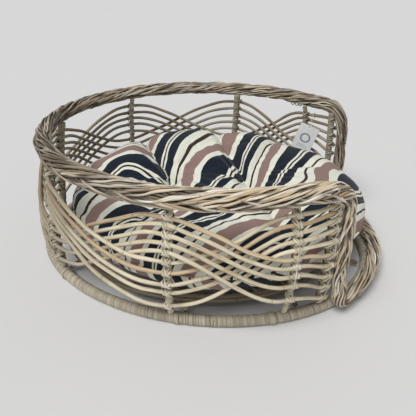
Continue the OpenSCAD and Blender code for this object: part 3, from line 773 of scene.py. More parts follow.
def sill_line(t, q):
    t = np.asarray(t, float)
    k = near_k(q, (t - 8) / 24)
    return foot_point(q * t, sill_out + 4.6 * k + 0.7 * np.sin(np.pi * k), sill_z - 3.2 * k)


def half_entry(q):
    apex = 36.4 if q < 0 else 38.4
    parts = [bez(rim_point(q * rim_end), rim_point(q * apex), jamb_line(188, q), np.arange(0, 1, 0.05))]
    if q < 0:
        parts.append(jamb_line(np.arange(188, 43, -3.0), q))
        parts.append(bez(jamb_line(42, q), foot_point(np.array(-40.6), np.array(20.6), 15.5), sill_line(28, q), np.arange(0, 1.0, 0.04)))
        parts.append(sill_line(np.arange(28, 0, -1.0), q))
    else:
        parts.append(jamb_line(np.arange(188, 63, -3.0), q))
        parts.append(bez(jamb_line(62, q), jamb_line(sill_z - 5, q), sill_line(26, q), np.arange(0, 1.0, 0.04)))
        parts.append(sill_line(np.arange(26, 0, -1.0), q))
    return np.vstack(parts)


near_half, far_half = half_entry(-1), half_entry(1)
rt = np.arange(-46, -314, -1.0)
loop = np.vstack([rim_point(rt), far_half, foot_point(np.array([0.0]), np.array([sill_out]), sill_z), near_half[::-1]])
STEP = 3.4
loop = resample(loop, STEP, closed=True)
# the plait settles a little where it turns down the near jamb
sag = np.exp(-(np.linalg.norm(loop - rim_point(np.array([-38.5])), axis=1) / 44) ** 2)
loop = loop + sag[:, None] * np.array([-1.5, -1.0, -10.0])
for _ in range(3):
    loop = (np.roll(loop, 1, 0) + loop * 2 + np.roll(loop, -1, 0)) / 4
M = len(loop)
ls = np.arange(M) * STEP
ltan = tangents(loop, True)
lth = np.degrees(np.arctan2(loop[:, 1] / rim_b, (loop[:, 0] - rim_shift * loop[:, 2] / rim_z) / rim_a))
lout = rim_out(lth)
le1 = nrm(lout - ltan * (ltan * lout).sum(1, keepdims=True))
le2 = np.cross(ltan, le1)
tn = np.where(lth > 0, lth - 360, lth)  # 0 .. -360
on_rim = (tn <= -46) & (tn >= -314)
top_r = rim_rad(np.where(on_rim, tn, np.where(loop[:, 1] < 0, -46, 46)))
z_ = loop[:, 2]
lr = np.where(on_rim, top_r, np.where(z_ > 100, mix(21 / 2, top_r, sstep((z_ - 188) / 36)), mix(25 / 2, 21 / 2, sstep((z_ - sill_z) / 60))))
for _ in range(6):
    lr = (np.roll(lr, 1) + lr * 2 + np.roll(lr, -1)) / 4

b = Build()
b.sweep(loop, lout, np.maximum(lr - 5.6, 3), sides=14, closed=True)
b.make("braid_core", mat_core, slot="bare_pole", replaces=["rim_pole"])

b = Build()
total = ls[-1] + STEP
K, STR = 12, 5                 # bundles round the plait, canes in a bundle
turns = 3                      # whole periods of the plait round the loop
A = 0.94 * np.pi
# tonel greys the plait towards the far side and closed end, partly weathering and partly painted shade, and holds the
# low sill at a middle tone
tonel = np.clip(0.05 + 0.95 * sstep((np.where(tn < -180, 180, -tn) - 80) / 48), 0, 1)
tonel = np.where(tn < -188, mix(1.0, 0.62, sstep((-tn - 188) / 36)) + 0.2 * sstep((-tn - 270) / 30), tonel)
sill_part = (~on_rim) & (z_ < 70)
tonel = np.where(sill_part, 0.4, tonel)
for _ in range(30):
    tonel = (np.roll(tonel, 1) + tonel * 2 + np.roll(tonel, -1)) / 4
# the plait's line of symmetry: outside on the near rim, underneath and inside on the far rim
axis_t = np.interp(tn, [-360, -314, -250, -200, -150, -100, -46, 0], [-0.1, -0.42, -0.42, -0.25, 0.0, 0.07, 0.1, -0.1]) * np.pi
for _ in range(40):
    axis_t = (np.roll(axis_t, 1) + axis_t * 2 + np.roll(axis_t, -1)) / 4
for kb in range(K):
    if kb in (4, 8):
        b.make(f"braid_canes_{kb // 4}", mat_braid, slot="rim_braid", replaces=["rim_braid"] if kb == 4 else ["entrance_braid"])
        b = Build()
    for js in range(STR):
        wb1, wb2, wb3, wb4 = Wob(700 + kb * 17 + js), Wob(900 + kb * 17 + js), Wob(1100 + kb * 17 + js), Wob(1500 + kb * 17 + js)
        jit = rng.normal() * 0.05
        ph = 2 * np.pi * (turns * ls / total + kb / K) + jit + 0.07 * wb4(ls / 260)
        tri = -np.cos(ph) * 0.35 + 0.65 * (2 / np.pi) * np.arcsin(np.clip(-np.cos(ph) * 0.985, -1, 1))
        h = np.clip(np.sin(2 * ph) * 3.0, -1, 1)
        cane = 3.2 * (lr / 15) ** 0.5
        lat = (js - (STR - 1) / 2) * cane * 0.9 + 0.6 * wb1(ls / 70)
        ang = axis_t + A * tri + lat / np.maximum(lr - 2.5, 4)
        dip = np.clip(0.5 + 0.75 * wb2(ls / 95), 0, 1)      # where a cane sinks under its neighbours
        rad = lr - cane / 2 + 0.5 - (1 - h) / 2 * cane * 0.95 - mix(1.9, 2.7, sstep((15 - lr) / 4)) * dip
        P = loop + (np.cos(ang) * rad)[:, None] * le1 - (np.sin(ang) * rad)[:, None] * le2
        rc = cane / 2 * (1.04 + 0.1 * wb3(ls / 120) - 0.12 * dip)
        # painted shade: the canes darken where they dip under their neighbours (dip adds to the tone) and on their
        # deeper-lying sides (deep)
        tn_k = np.clip(tonel * (0.82 + 0.3 * wb3(ls / 210)) + 0.15 * dip + 0.08 * wb4(ls / 150), 0, 1)
        b.sweep(P, P - loop, rc * 0.94, rc * 1.04, sides=6, closed=True, rnd=float(np.clip(0.05 + 0.9 * rng.random(), 0, 1)), tone=tn_k,
                deep=lambda ca, sa, r1, r2: sstep((((lr + 0.6 - rad)[:, None] - r1[:, None] * ca) - 1.3) / 2.1))
b.make("braid_canes_3", mat_braid, slot="rim_braid")

# ---------------------------------------------------------------- cushion
PADX, PADA, PADB, ZS, ZTOP, ZLOW = 23.5, 259.5, 216.5, 88.0, 154.0, 47.5
T1, T2 = np.array([-58.0, -6.0]), np.array([82.0, 4.0])
# puckers sewn in at the tufts: tuft, where the pucker runs out at the edge, depth at the tuft, depth at the edge, width
CREASES = [
    (T1, (-152, 122), 27, 15, 10), (T1, (-84, -208), 18, 9, 13), (T1, (-246, -40), 8, 4, 13), (T1, (36, 205), 5, 3, 14), (T1, (-214, -150), 5, 4, 15),
    (T2, (-20, 200), 25, 13, 10), (T2, (122, 196), 11, 6, 9), (T2, (168, -190), 16, 10, 12), (T2, (262, 60), 3, 2, 15), (T2, (20, -214), 8, 6, 14),
    (T1, tuple(T2), 11, 11, 15)]


def plan_r(phi):
    c, s_ = np.cos(phi), np.sin(phi) * (1 - 0.15 * np.maximum(0, np.cos(phi)) ** 2)
    k = 1 + 0.046 * np.exp(-((np.mod(phi, 2 * np.pi) - 3.32) / 0.62) ** 2)     # pushed up against the closed end
    return PADA * c * k, PADB * s_ * k


def polar(x, y):
    """Angle and share of the way to the edge of a plan point."""
    phi = np.arctan2(y / PADB, (x - PADX) / PADA)
    for _ in range(4):
        px, py = plan_r(phi)
        phi = phi + np.arctan2(y, x - PADX) - np.arctan2(py, px)
    px, py = plan_r(phi)
    return phi, np.hypot(x - PADX, y) / np.hypot(px, py)


def top_z(rho):
    return ZS + (ZTOP - ZS) * np.maximum(0, 1 - np.clip(rho, 0, 1) ** 6.5) ** 0.42


def low_z(rho):
    return ZS - (ZS - ZLOW) * np.maximum(0, 1 - np.clip(rho, 0, 1) ** 8) ** 0.36


def base_form():
    nphi, vs, fs = 220, [], []
    rho = np.sin(np.linspace(0.0, 1.0, 46)[1:] * np.pi / 2) ** 0.9
    phi = np.arange(nphi) / nphi * 2 * np.pi
    px, py = plan_r(phi)
    vs.append([[PADX, 0, top_z(0.0)]])
    for r in rho:
        vs.append(np.stack([PADX + px * r, py * r, np.full(nphi, top_z(r))], 1))
    for r in rho[-2::-1]:
        vs.append(np.stack([PADX + px * r, py * r, np.full(nphi, low_z(r))], 1))
    vs.append([[PADX, 0, low_z(0.0)]])
    v = np.vstack(vs)
    rows = 2 * len(rho) - 1
    for j in range(nphi):
        fs.append((0, 1 + j, 1 + (j + 1) % nphi))
    for i in range(rows - 1):
        a, c = 1 + i * nphi, 1 + (i + 1) * nphi
        for j in range(nphi):
            k = (j + 1) % nphi
            fs.append((a + j, c + j, c + k, a + k))
    a, last = 1 + (rows - 1) * nphi, len(v) - 1
    for j in range(nphi):
        fs.append((a + j, last, a + (j + 1) % nphi))
    return v, fs


def crease_drop(x, y):
    """How far the cloth is drawn in, and how near a point is to the bottom of a pucker."""
    drop, near = np.zeros_like(x), np.zeros_like(x)
    for tuft, end, d0, d1, w in CREASES:
        a, e = np.asarray(tuft, float), np.asarray(end, float)
        L = np.linalg.norm(e - a)
        u = (e - a) / L
        n = np.array([-u[1], u[0]])
        al = (x - a[0]) * u[0] + (y - a[1]) * u[1]
        d = (x - a[0]) * n[0] + (y - a[1]) * n[1]
        d = d - 5 * np.sin(np.clip(al / L, 0, 1) * np.pi)
        f = np.clip(al / L, 0, 1.4)
        depth = mix(d0, d1, np.minimum(f, 1)) * sstep((al + 12) / 24)
        if end == tuple(T2):
            depth = depth * sstep((L + 12 - al) / 24)
        k = np.exp(-np.abs(d) / w)
        drop = np.maximum(drop, depth * k) + 0.25 * np.minimum(drop, depth * k)
        near = np.maximum(near, k ** 4 * np.minimum(1, depth / 12))
    return drop, near


# where known stripes run over the top panel, in plan: distance across the cloth, then points
FRONT = [(0, ((-227.6, -72.7),)), (33.3, ((-180.3, -116.9),)), (57.8, ((-150.0, -137.7), (-162.3, -148.8))), (105, ((-94.1, -152.1), (-106.2, -174.9), (-111.0, -188.3), (-124, -240))),
         (138.3, ((-64.4, -170.7), (-71.3, -189.2), (-79.4, -203.9), (-90, -232))), (162.8, ((-35.6, -169.2), (-42.8, -187.6), (-48.1, -201.6), (-62.3, -232.9))), (184.5, ((-33.9, -215.1), (-46.3, -227.6))),
         (210, ((21.7, -152.3), (9.2, -172.9), (-18, -215))), (243.3, ((55.5, -156), (41.2, -180), (34.2, -192.2), (26.8, -204.1), (12, -224))),
         (267.8, ((137.0, -126.4), (106.4, -143.6), (87.7, -161.8), (54.9, -209.7), (32.4, -237.6))), (289.5, ((148.2, -127.9), (126.5, -150.9), (110.2, -173.8))),
         (315, ((184, -125), (194, -107), (209, -86), (174.6, -143.3), (154.5, -164.9), (135.8, -181.4), (112, -222))), (348.3, ((208, -131), (217, -120), (225.5, -109), (190, -176), (165, -215))), (372.8, ((232, -134), (217, -159)))]
FRONT += [(66, ((-112, -100),)), (75, ((-72, -100),)), (95, ((-22, -100),)), (161, ((28, -100),)), (216, ((85, -105),)), (241, ((135, -70),))]
HUMP = [(120, ((42, -34),)), (138.3, ((60, -32), (52, -60))), (162.8, ((88, -45), (80, -75)))]
TOP_L = [(0, ((-176, -48), (-146, -10), (-118, -9), (-100, -14), (-76, -18))), (33.3, ((-147, -60), (-124, -46), (-105, -45), (-87, -49), (-64, -60))), (-30, ((-200, -40), (-181, -4), (-128, 28))),
         (-63, ((-217, 8), (-183, 46), (-150, 70))), (-145, ((-260, 44), (-228, 112), (-165, 146)))]
TOP_M = [(0, ((-84, 13), (-84, 76), (-77, 123), (-66, 163), (-56, 176))), (33.3, ((-49, -46), (-51, 17), (-44, 76), (-25, 124), (-13, 158))), (46, ((-34, -50), (-37, -13), (-35, 29), (-20, 63), (5, 111))),
         (79, ((2, -38), (-7, 6), (8, 40))), (105, ((28, -40), (47, 5))), (-60, ((-150, 170), (-140, 120)))]
TOP_R = [(105, ((28, -40), (50, 3), (61, 37), (69, 96), (83, 158), (97, 177))), (161, ((101, 3), (105, 47), (117, 121), (133, 159))), (210, ((135, -5), (143, 20), (162, 60), (172, 96), (184, 122))),
         (243.3, ((178, -26), (175, 11), (188, 45), (203, 77), (216, 93))), (267.8, ((200, 21), (212, 47), (232, 75))), (79, ((38, 60), (46, 110), (60, 170))), (50, ((10, 200),)),
         (300, ((250, 14),)), (315, ((273, -2),)), (348.3, ((289.7, -18.6),)), (372.8, ((294.6, -55),))]


class Field:
    """A smooth surface through scattered values."""

    def __init__(self, pts, soft=18.0, lam=1.5):
        self.c = np.array([p_ for _, row in pts for p_ in row], float)
        self.soft = soft
        v = np.array([q_ for q_, row in pts for _ in row], float)
        n = len(v)
        A = np.zeros((n + 3, n + 3))
        A[:n, :n] = self.k(self.c) - lam * np.eye(n)
        A[:n, n:] = np.c_[np.ones(n), self.c / 100]
        A[n:, :n] = A[:n, n:].T
        self.w = np.linalg.solve(A, np.r_[v, 0, 0, 0])

    def k(self, q):
        return np.sqrt(((q[:, None] - self.c[None]) ** 2).sum(-1) + self.soft ** 2)

    def __call__(self, x, y):
        q = np.stack([x, y], 1)
        n = len(self.c)
        return np.concatenate([self.k(a) @ self.w[:n] + self.w[n] + (a / 100) @ self.w[n + 1:] for a in np.array_split(q, 40)])


stripe_l, stripe_m, stripe_r = (Field(FRONT + top) for top in (TOP_L, TOP_M + HUMP, TOP_R + HUMP))


def line_side(x, y, a, e):
    a, e = np.asarray(a, float), np.asarray(e, float)
    u = (e - a) / np.linalg.norm(e - a)
    al = (x - a[0]) * u[0] + (y - a[1]) * u[1]
    L = np.linalg.norm(e - a)
    return (x - a[0]) * -u[1] + (y - a[1]) * u[0] - 5 * np.sin(np.clip(al / L, 0, 1) * np.pi)


def stripes(x, y):
    """Where a point of the top panel lies across the cloth's stripes, in mm. The pattern breaks at the two deep puckers."""
    res = stripe_r(x, y)
    for t, far, field in ((T2, (-20, 200), stripe_m), (T1, (-152, 122), stripe_l)):
        back = y > t[1]
        d = np.where(back, line_side(x, y, t, far), t[0] - x - 0.25 * (t[1] - y))
        w = np.where(back, 0.4, 0.4 + 26 * sstep((t[1] - y) / 50))
        res = mix(res, field(x, y), sstep(0.5 + d / (2 * w)))
    return res


def spread(rho, zf, R):
    """Length of cloth from the middle outwards, on a form of height zf over edge radii of 180, 225 and 270, less the
    plan length, as tables along the way; rho and R are not used.
    """
    g = np.sin(np.linspace(0, 1, 400) * np.pi / 2)
    zz = zf(g)
    extra = np.zeros((len(g), 3))
    Rs = np.array([180.0, 225.0, 270.0])
    for i, r in enumerate(Rs):
        d = np.sqrt((np.diff(g) * r) ** 2 + np.diff(zz) ** 2)
        extra[1:, i] = np.cumsum(d) - g[1:] * r
    q = np.abs(zz - zz[0]) + g * 60
    return g, zz, extra, q, Rs


def effective(x, y, z, upper):
    phi, rho = polar(x, y)
    px, py = plan_r(phi)
    R = np.hypot(px, py)
    res = np.zeros_like(x)
    for up, zf in ((True, top_z), (False, low_z)):
        g, zz, extra, q, Rs = spread(None, zf, None)
        m = upper == up
        qv = np.abs(z[m] - zz[0]) + np.clip(rho[m], 0, 1) * 60
        e = np.stack([np.interp(qv, q, extra[:, i]) for i in range(3)], 1)
        rr = np.clip((R[m] - Rs[0]) / (Rs[2] - Rs[0]), 0, 1)
        res[m] = mix(e[:, 0], e[:, 2], rr)
    u = np.stack([px, py], 1) / R[:, None]
    return x + u[:, 0] * res, y + u[:, 1] * res, phi, rho


def voxel(v, f, size):
    me = bpy.data.meshes.new("pad_base")
    me.from_pydata([tuple(a) for a in v * MM], [], f)
    ob = bpy.data.objects.new("pad_base", me)
    bpy.context.scene.collection.objects.link(ob)
    md = ob.modifiers.new("remesh", "REMESH")
    md.mode = "VOXEL"
    md.voxel_size = size
    md.use_smooth_shade = True
    dg = bpy.context.evaluated_depsgraph_get()
    new = bpy.data.meshes.new_from_object(ob.evaluated_get(dg))
    bpy.data.objects.remove(ob)
    bpy.data.meshes.remove(me)
    return new


def coords(me):
    a = np.zeros(len(me.vertices) * 3, np.float32)
    me.vertices.foreach_get("co", a)
    return a.reshape(-1, 3).astype(float)


v, f = base_form()
pad_me = voxel(v, f, 0.0042)
co = coords(pad_me) / MM
x, y, z = co.T
upper = z >= ZS
xe, ye, phi, rho = effective(x, y, z, upper)
s_top = stripes(xe, ye)
s_low = 0.92 * xe - 0.42 * ye + 12
s_all = np.where(upper, s_top, s_low)
t_all = ye
# draw in the puckers and tufts: down on the crown, inward on the sides
drop, near = crease_drop(x, y)
crown = sstep((z - 96) / 40)
inward = np.stack([-np.cos(phi), -np.sin(phi)], 1)
sidew = sstep((rho - 0.86) / 0.12) * sstep((z - 58) / 30)
for tf in (T1, T2):
    r = np.hypot(x - tf[0], y - tf[1])
    drop = np.maximum(drop, 40 * np.exp(-(r / 17) ** 1.5)) + 9 * np.exp(-(r / 62) ** 2)
    a = np.arctan2(y - tf[1], x - tf[0])
    drop = drop + 2.3 * np.exp(-((r - 33) / 24) ** 2) * np.sin(11 * a + 2 * np.sin(2 * a)) + 1.2 * np.exp(-((r - 62) / 30) ** 2) * np.sin(17 * a + 3 * np.sin(3 * a))
# the crown falls away towards the near side
fall = sstep((-y + 14) / 74) * mix(21, 11, sstep((x + 40) / 70)) * (1 - sstep((x - 100) / 50)) * sstep((y + 205) / 70) + 9 * sstep((-y - 30) / 70) * sstep((x - 100) / 50) * sstep((y + 205) / 70)
drop = drop + fall + 10 * np.exp(-(((x - 166) / 36) ** 2 + ((y - 162) / 36) ** 2))
# and the closed end's far shoulder is slack
drop = drop + 10 * np.exp(-(((x + 205) / 50) ** 2 + ((y - 40) / 75) ** 2))
# a soft crown between the puckers
puff = 5.0 * (1 - np.clip(drop / 12, 0, 1)) * sstep((1.02 - rho) / 0.25)
wobv = 1.2 * np.sin(x / 31 + 1.3 * np.sin(y / 44)) * np.cos(y / 37 + x / 60)
co[:, 2] += crown * (-drop + puff + wobv)
inn = np.minimum(drop * 0.55, 9) * sidew
co[:, 0] += inward[:, 0] * inn
co[:, 1] += inward[:, 1] * inn
start = co.copy()

pad_me.vertices.foreach_set("co", ((co + np.array([MIDX, 0, 0])) * MM).astype(np.float32).ravel())
for nm, val in (("rnd", np.zeros(len(co))), ("under", (~upper).astype(float))):
    a = pad_me.attributes.new(nm, "FLOAT", "POINT")
    a.data.foreach_set("value", val.astype(np.float32))
a = pad_me.attributes.new("cloth", "FLOAT_VECTOR", "POINT")
a.data.foreach_set("vector", np.stack([s_all, t_all, 0 * s_all], 1).astype(np.float32).ravel())
pad = bpy.data.objects.new("cushion_cover", pad_me)
bpy.context.scene.collection.objects.link(pad)

vg = pad.vertex_groups.new(name="pin")
tuftw = np.zeros(len(co))
for tf in (T1, T2):
    tuftw = np.maximum(tuftw, (np.hypot(x - tf[0], y - tf[1]) < 9) & (z > 100))
pinw = np.maximum(tuftw, np.clip(near * 1.3, 0, 1) * crown)
pinw = np.maximum(pinw, np.where(z < ZLOW + 2.0, 1.0, 0.0))
pinw = np.maximum(pinw, np.exp(-((z - ZS) / 5.0) ** 2) * 0.9)
lv = np.round(pinw * 12) / 12
for w_ in np.unique(lv):
    if w_ > 0:
        vg.add([int(i) for i in np.where(lv == w_)[0]], float(w_), "REPLACE")
cl = pad.modifiers.new("cloth", "CLOTH")
cs = cl.settings
cs.quality = 6
cs.mass = 0.25
cs.tension_stiffness = cs.compression_stiffness = 14
cs.shear_stiffness = 6
cs.bending_stiffness = 0.06
cs.tension_damping = cs.compression_damping = 8
cs.vertex_group_mass = "pin"
cs.pin_stiffness = 2.0
cs.use_pressure = True
cs.uniform_pressure_force = 5.0
cs.effector_weights.gravity = 0
cs.shrink_min = -0.035
cl.collision_settings.use_collision = False
cl.collision_settings.use_self_collision = False
sc = bpy.context.scene
sc.frame_start, sc.frame_end = 1, 22
cl.point_cache.frame_start, cl.point_cache.frame_end = 1, 22
for fr in range(1, 23):
    sc.frame_set(fr)
dg = bpy.context.evaluated_depsgraph_get()
ev = pad.evaluated_get(dg)
sim = coords(ev.data) / MM - np.array([MIDX, 0, 0])
pad.modifiers.remove(cl)
sc.frame_set(1)
mv = sim - start
ln = np.linalg.norm(mv, axis=1, keepdims=True)
mv = mv * np.minimum(1, 9.0 / np.maximum(ln, 1e-9))
sim = start + mv
# stay in the basket: above the slats, inside the wall
sim[:, 2] = np.maximum(sim[:, 2], 46.9)
ph2, rh2 = polar(sim[:, 0], sim[:, 1])
lim = np.where(rh2 > 1.008, 1.008 / rh2, 1.0)
sim[:, 0] = PADX + (sim[:, 0] - PADX) * lim
sim[:, 1] = sim[:, 1] * lim
co = sim
pad_me.vertices.foreach_set("co", ((co + np.array([MIDX, 0, 0])) * MM).astype(np.float32).ravel())
pad_me.update()
pad_me.polygons.foreach_set("use_smooth", np.ones(len(pad_me.polygons), bool))
sub = pad.modifiers.new("smooth", "SUBSURF")
sub.levels = sub.render_levels = 1

# woven stripes: the cloth attribute holds the distance across and along the stripes, in mm
PITCH = 105.0
m = Mat("striped_canvas")
cloth = m.attr("cloth", "Vector")
sx = m.sep(cloth)
edge = m.noise(m.scale(cloth, (0.9, 0.25, 1)), 1.0, 2, 0.5)
sv = m.math("ADD", sx[0], m.math("MULTIPLY", m.math("SUBTRACT", edge, 0.5), 0.9))
fr = m.math("FRACT", m.math("DIVIDE", m.math("ADD", sv, 1050.0), PITCH))
NAVY, CREAM, MAUVE, BROWN = srgb(25, 34, 46), srgb(230, 231, 218), srgb(147, 121, 115), srgb(58, 42, 41)
bands = [(0.0, BROWN), (1.3, CREAM), (5.0, NAVY), (19.5, CREAM), (31.2, BROWN), (35.4, CREAM), (47.0, MAUVE), (68.5, CREAM), (79.5, NAVY), (100.0, CREAM), (103.7, BROWN)]
col = m.ramp(fr, [(p_ / PITCH, c_) for p_, c_ in bands], "CONSTANT")
# plain weave, about 0.9 mm a thread, and slubs along the threads
wx = m.math("SINE", m.math("MULTIPLY", sx[0], 2 * math.pi / 1.7))
wy = m.math("SINE", m.math("MULTIPLY", sx[1], 2 * math.pi / 1.7))
weave = m.math("MULTIPLY", wx, wy)
slub = m.noise(m.scale(cloth, (1.1, 0.09, 1)), 1.0, 2, 0.6)
slub2 = m.noise(m.scale(cloth, (0.08, 1.1, 1)), 1.0, 2, 0.6)
mott = m.noise(m.scale(cloth, (0.035, 0.035, 1)), 1.0, 3, 0.55)
shade = m.math("ADD", m.math("MULTIPLY", weave, 0.05), m.math("ADD", m.math("MULTIPLY", m.math("SUBTRACT", slub, 0.5), 0.26), m.math("MULTIPLY", m.math("SUBTRACT", slub2, 0.5), 0.2)))
shade = m.math("ADD", shade, m.math("MULTIPLY", m.math("SUBTRACT", mott, 0.5), 0.12))
lightc = m.mixc(1.0, col, m.ramp(m.math("ADD", shade, 0.5), [(0.2, (0.62, 0.62, 0.62, 1)), (0.5, (1, 1, 1, 1)), (0.8, (1.22, 1.22, 1.2, 1))]), "MULTIPLY")
hgt = m.math("ADD", m.math("MULTIPLY", weave, 0.5), m.math("ADD", slub, slub2))
m.set(Base_Color=lightc, Roughness=m.rng(slub, 0.2, 0.8, 0.82, 0.95), Normal=m.bump(hgt, 0.35, 0.0004))
m.b.inputs["Specular IOR Level"].default_value = 0.2
m.b.inputs["Sheen Weight"].default_value = 0.12
m.b.inputs["Sheen Roughness"].default_value = 0.5
pad_me.materials.clear()
pad_me.materials.append(m.m)

# the sewn edge: a narrow welt of the same cloth over the seam between the two panels
ph_e, rh_e = polar(co[:, 0], co[:, 1])
NB = 170
row = np.where(np.abs(co[:, 2] - ZS) < 5.0)[0]
bi = np.floor((ph_e[row] / (2 * np.pi)) % 1 * NB).astype(int) % NB
re_, se_ = np.full(NB, np.nan), np.full(NB, np.nan)
for k in range(NB):
    q = row[bi == k]
    if len(q):
        re_[k] = rh_e[q].max()
        q = q[upper[q]]
        if len(q):
            se_[k] = s_all[q].mean()
kk = np.arange(NB)
re_ = np.interp(kk, kk[~np.isnan(re_)], re_[~np.isnan(re_)], period=NB)
se_ = np.interp(kk, kk[~np.isnan(se_)], se_[~np.isnan(se_)], period=NB)
for _ in range(2):
    re_ = (np.roll(re_, 1) + re_ * 2 + np.roll(re_, -1)) / 4
kf = np.arange(NB * 4) / 4
pf = (kf + 0.5) / NB * 2 * np.pi
wx_, wy_ = plan_r(pf)
rf, sf = np.interp(kf, kk, re_, period=NB), np.interp(kf, kk, se_, period=NB)
W = np.stack([PADX + wx_ * rf, wy_ * rf, np.full(len(kf), ZS + 0.3)], 1)
wout = nrm(np.stack([wx_, wy_, 0 * wx_], 1))
W = W - wout * 1.0
b = Build()
b.sweep(W, wout, 2.35, 2.6, sides=10, closed=True)
welt = b.make("cushion_welt", m.m, body="cushion", slot="cushion_fabric")
a = welt.data.attributes.new("cloth", "FLOAT_VECTOR", "POINT")
wl = np.concatenate([[0], np.cumsum(np.linalg.norm(np.diff(W, axis=0), axis=1))])
a.data.foreach_set("vector", np.stack([np.repeat(sf, 10), np.repeat(wl, 10) + np.tile(np.arange(10) * 1.5, len(W)), np.zeros(len(W) * 10)], 1).astype(np.float32).ravel())
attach(pad, "cushion")
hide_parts("cushion_top_panel", "cushion_bottom_panel", "cushion_filling", "cushion_tuft_ties")

# ---------------------------------------------------------------- hang tag and its string
pivot = np.array([176.982, 193.822, 194.025])
tn_y = np.array([0.542503, 0.840054, 0.0])
tn_z = np.array([0.0, 0.0, 1.0])
tn_x = np.cross(tn_y, tn_z)


def rot(axis, deg):
    c, s_ = math.cos(deg * D2R), math.sin(deg * D2R)
    i, j = {"x": (1, 2), "y": (2, 0), "z": (0, 1)}[axis]
    r = np.eye(3)
    r[i, i] = r[j, j] = c
    r[i, j], r[j, i] = -s_, s_
    return r


def tag_place(q):
    """From the card's own plane to the frame of the rod it hangs on, in mm."""
    return (rot("z", 23) @ rot("y", 17) @ rot("x", 90) @ q.T).T + np.array([0, -10.8, -24.0])


def tag_world(q):
    return pivot + q[:, :1] * tn_x + q[:, 1:2] * tn_y + q[:, 2:] * tn_z


import bmesh
bm = bmesh.new()
W2, H0, H1, cr, cy = 20.0, 5.0, -52.0, 3.0, 0.0
outl = []
for cx, cyy, a0 in ((W2 - cr, H0 - cr, 0), (-W2 + cr, H0 - cr, 90), (-W2 + cr, H1 + cr, 180), (W2 - cr, H1 + cr, 270)):
    for a in np.linspace(a0, a0 + 90, 7):
        outl.append((cx + cr * math.cos(a * D2R), cyy + cr * math.sin(a * D2R)))
hole = [(2.2 * math.cos(a * D2R), 2.2 * math.sin(a * D2R)) for a in np.arange(0, 360, 15)]
tv, th = 0.38, 24
ov = [bm.verts.new((x_, y_, 0)) for x_, y_ in outl]
hv = [bm.verts.new((x_, y_, 0)) for x_, y_ in hole]
es = [bm.edges.new((ov[i], ov[(i + 1) % len(ov)])) for i in range(len(ov))] + [bm.edges.new((hv[i], hv[(i + 1) % th])) for i in range(th)]
bmesh.ops.triangle_fill(bm, edges=es, use_beauty=True, use_dissolve=False)
bmesh.ops.subdivide_edges(bm, edges=[e_ for e_ in bm.edges if e_.calc_length() > 6], cuts=3, use_grid_fill=True)
bmesh.ops.triangulate(bm, faces=bm.faces[:])
bmesh.ops.recalc_face_normals(bm, faces=bm.faces[:])
card_me = bpy.data.meshes.new("hang_tag_card")
bm.to_mesh(card_me)
bm.free()
cc = coords(card_me)
flat2 = cc.copy()
# the card curls a little
cc[:, 2] = 0.9 * ((cc[:, 0] / 20) ** 2 - 0.4) * sstep((-cc[:, 1] + 4) / 50) + 0.5 * sstep((-cc[:, 1] - 38) / 14)
wv = tag_world(tag_place(cc)) * MM
card_me.vertices.foreach_set("co", wv.astype(np.float32).ravel())
a = card_me.attributes.new("card", "FLOAT_VECTOR", "POINT")
a.data.foreach_set("vector", flat2.astype(np.float32).ravel())
card_me.update()
card = bpy.data.objects.new("hang_tag_card", card_me)
bpy.context.scene.collection.objects.link(card)
sd = card.modifiers.new("thick", "SOLIDIFY")
sd.thickness = 0.00075
sd.offset = 0.0
bv = card.modifiers.new("edge", "BEVEL")
bv.width = 0.00018
bv.segments = 2
bv.limit_method = "ANGLE"
m = Mat("tag_card")
cp = m.attr("card", "Vector")
cs_ = m.sep(cp)
paper = m.noise(m.scale(cp, (0.5, 0.5, 0.5)), 1.0, 4, 0.6)
fib = m.noise(m.scale(cp, (3.0, 3.0, 3.0)), 1.0, 3, 0.6)
edge_ = m.math("MAXIMUM", m.math("DIVIDE", m.math("ABSOLUTE", cs_[0]), 20.0), m.math("DIVIDE", m.math("ABSOLUTE", m.math("ADD", cs_[1], 23.5)), 28.5))
pc = m.mixc(m.rng(paper, 0.3, 0.7, 0.0, 1.0), srgb(252, 253, 255), srgb(243, 245, 249))
pc = m.mixc(m.rng(edge_, 0.93, 1.0, 0.0, 0.5), pc, srgb(205, 202, 194))
# a plain generic mark: a soft ring and two rules
ring = m.math("ABSOLUTE", m.math("SUBTRACT", m.math("SQRT", m.math("ADD", m.math("POWER", cs_[0], 2.0), m.math("POWER", m.math("ADD", cs_[1], 23.0), 2.0))), 9.0))
pc = m.mixc(m.rng(ring, 1.2, 1.7, 0.9, 0.0), pc, srgb(92, 124, 138))
rule = m.math("MINIMUM", m.math("ABSOLUTE", m.math("ADD", cs_[1], 39.5)), m.math("ABSOLUTE", m.math("ADD", cs_[1], 43.5)))
inx = m.rng(m.math("ABSOLUTE", cs_[0]), 10.5, 11.0, 1.0, 0.0)
pc = m.mixc(m.math("MULTIPLY", m.rng(rule, 0.5, 0.9, 0.65, 0.0), inx), pc, srgb(104, 128, 140))
m.set(Base_Color=pc, Roughness=m.rng(fib, 0.3, 0.7, 0.4, 0.55), Normal=m.bump(fib, 0.15, 0.0002))
card_me.materials.append(m.m)
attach(card, "hang_tag")
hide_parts("hang_tag")

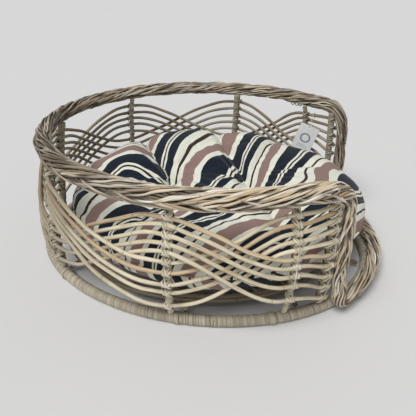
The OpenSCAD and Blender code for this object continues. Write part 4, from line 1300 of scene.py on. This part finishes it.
# the string: one loop round the rod and through the card's hole, of two plies
hole_c = np.array([0, -10.8, -21.4])
ax = nrm(hole_c)
sid = np.cross(np.array([1.0, 0, 0]), ax)
R1, R2 = 4.6, 2.4
path = []
for a in np.linspace(-90, 90, 13):
    path.append(-ax * R1 * math.cos(a * D2R) + sid * R1 * math.sin(a * D2R))
for a in np.linspace(90, -90, 9):
    path.append(hole_c + ax * R2 * math.cos(a * D2R) + sid * R2 * math.sin(a * D2R))
path = resample(np.array(path), 0.5, closed=True)
for _ in range(2):
    path = (np.roll(path, 1, 0) + path * 2 + np.roll(path, -1, 0)) / 4
L_ = 0.5 * len(path)
tt_ = tangents(path, True)
ex = np.broadcast_to(np.array([1.0, 0, 0]), path.shape)
ey = np.cross(tt_, ex)
b = Build()
nt = round(L_ / 4.0)
for j in range(2):
    q_ = 2 * np.pi * (nt * np.arange(len(path)) / len(path) + j / 2)
    P = path + 0.3 * (np.cos(q_)[:, None] * ex + np.sin(q_)[:, None] * ey)
    b.sweep(tag_world(P), tag_world(P + ex) - tag_world(P), 0.33, sides=8, closed=True)
mat_string = rattan("tag_string", srgb(236, 232, 220), srgb(224, 218, 202), srgb(196, 186, 166), srgb(170, 162, 148), 0.8, 0.6, 5.0, 0.3)
b.make("tag_string_loop", mat_string, body="hang_tag", slot="tag_string", replaces=["tag_string"], shift=False)

# ---------------------------------------------------------------- floor and light
fm = Mat("studio_floor")
fo = fm.obj()
fcol = fm.mixc(fm.noise(fo, 3.0, 2, 0.5), srgb(221, 221, 221), srgb(219, 219, 220))
fm.set(Base_Color=fcol, Roughness=fm.rng(fm.noise(fo, 30.0, 2), 0, 1, 0.85, 0.95))
fm.b.inputs["Specular IOR Level"].default_value = 0.1
me = bpy.data.meshes.new("studio_floor")
me.from_pydata([(-20, -20, 0), (20, -20, 0), (20, 20, 0), (-20, 20, 0)], [], [(0, 1, 2, 3)])
me.materials.append(fm.m)
floor = bpy.data.objects.new("studio_floor", me)
bpy.context.scene.collection.objects.link(floor)
floor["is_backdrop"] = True

world = bpy.data.worlds.new("world")
bpy.context.scene.world = world
world.use_nodes = True
bg = next(n for n in world.node_tree.nodes if n.type == "BACKGROUND")
bg.inputs["Color"].default_value = (1, 1, 1, 1)
bg.inputs["Strength"].default_value = 0.35


def sun(name, direction, strength, angle, color=(1, 1, 1)):
    l = bpy.data.lights.new(name, "SUN")
    l.energy = strength
    l.angle = angle * D2R
    l.color = color
    o = bpy.data.objects.new(name, l)
    o.rotation_mode = "QUATERNION"
    o.rotation_quaternion = Vector(direction).to_track_quat("-Z", "Y")
    bpy.context.scene.collection.objects.link(o)


sun("key", (0.25, 0.5, -1.0), 2.2, 30, (1.0, 0.995, 0.985))
bpy.context.scene.view_settings.view_transform = "Standard"

lo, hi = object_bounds()
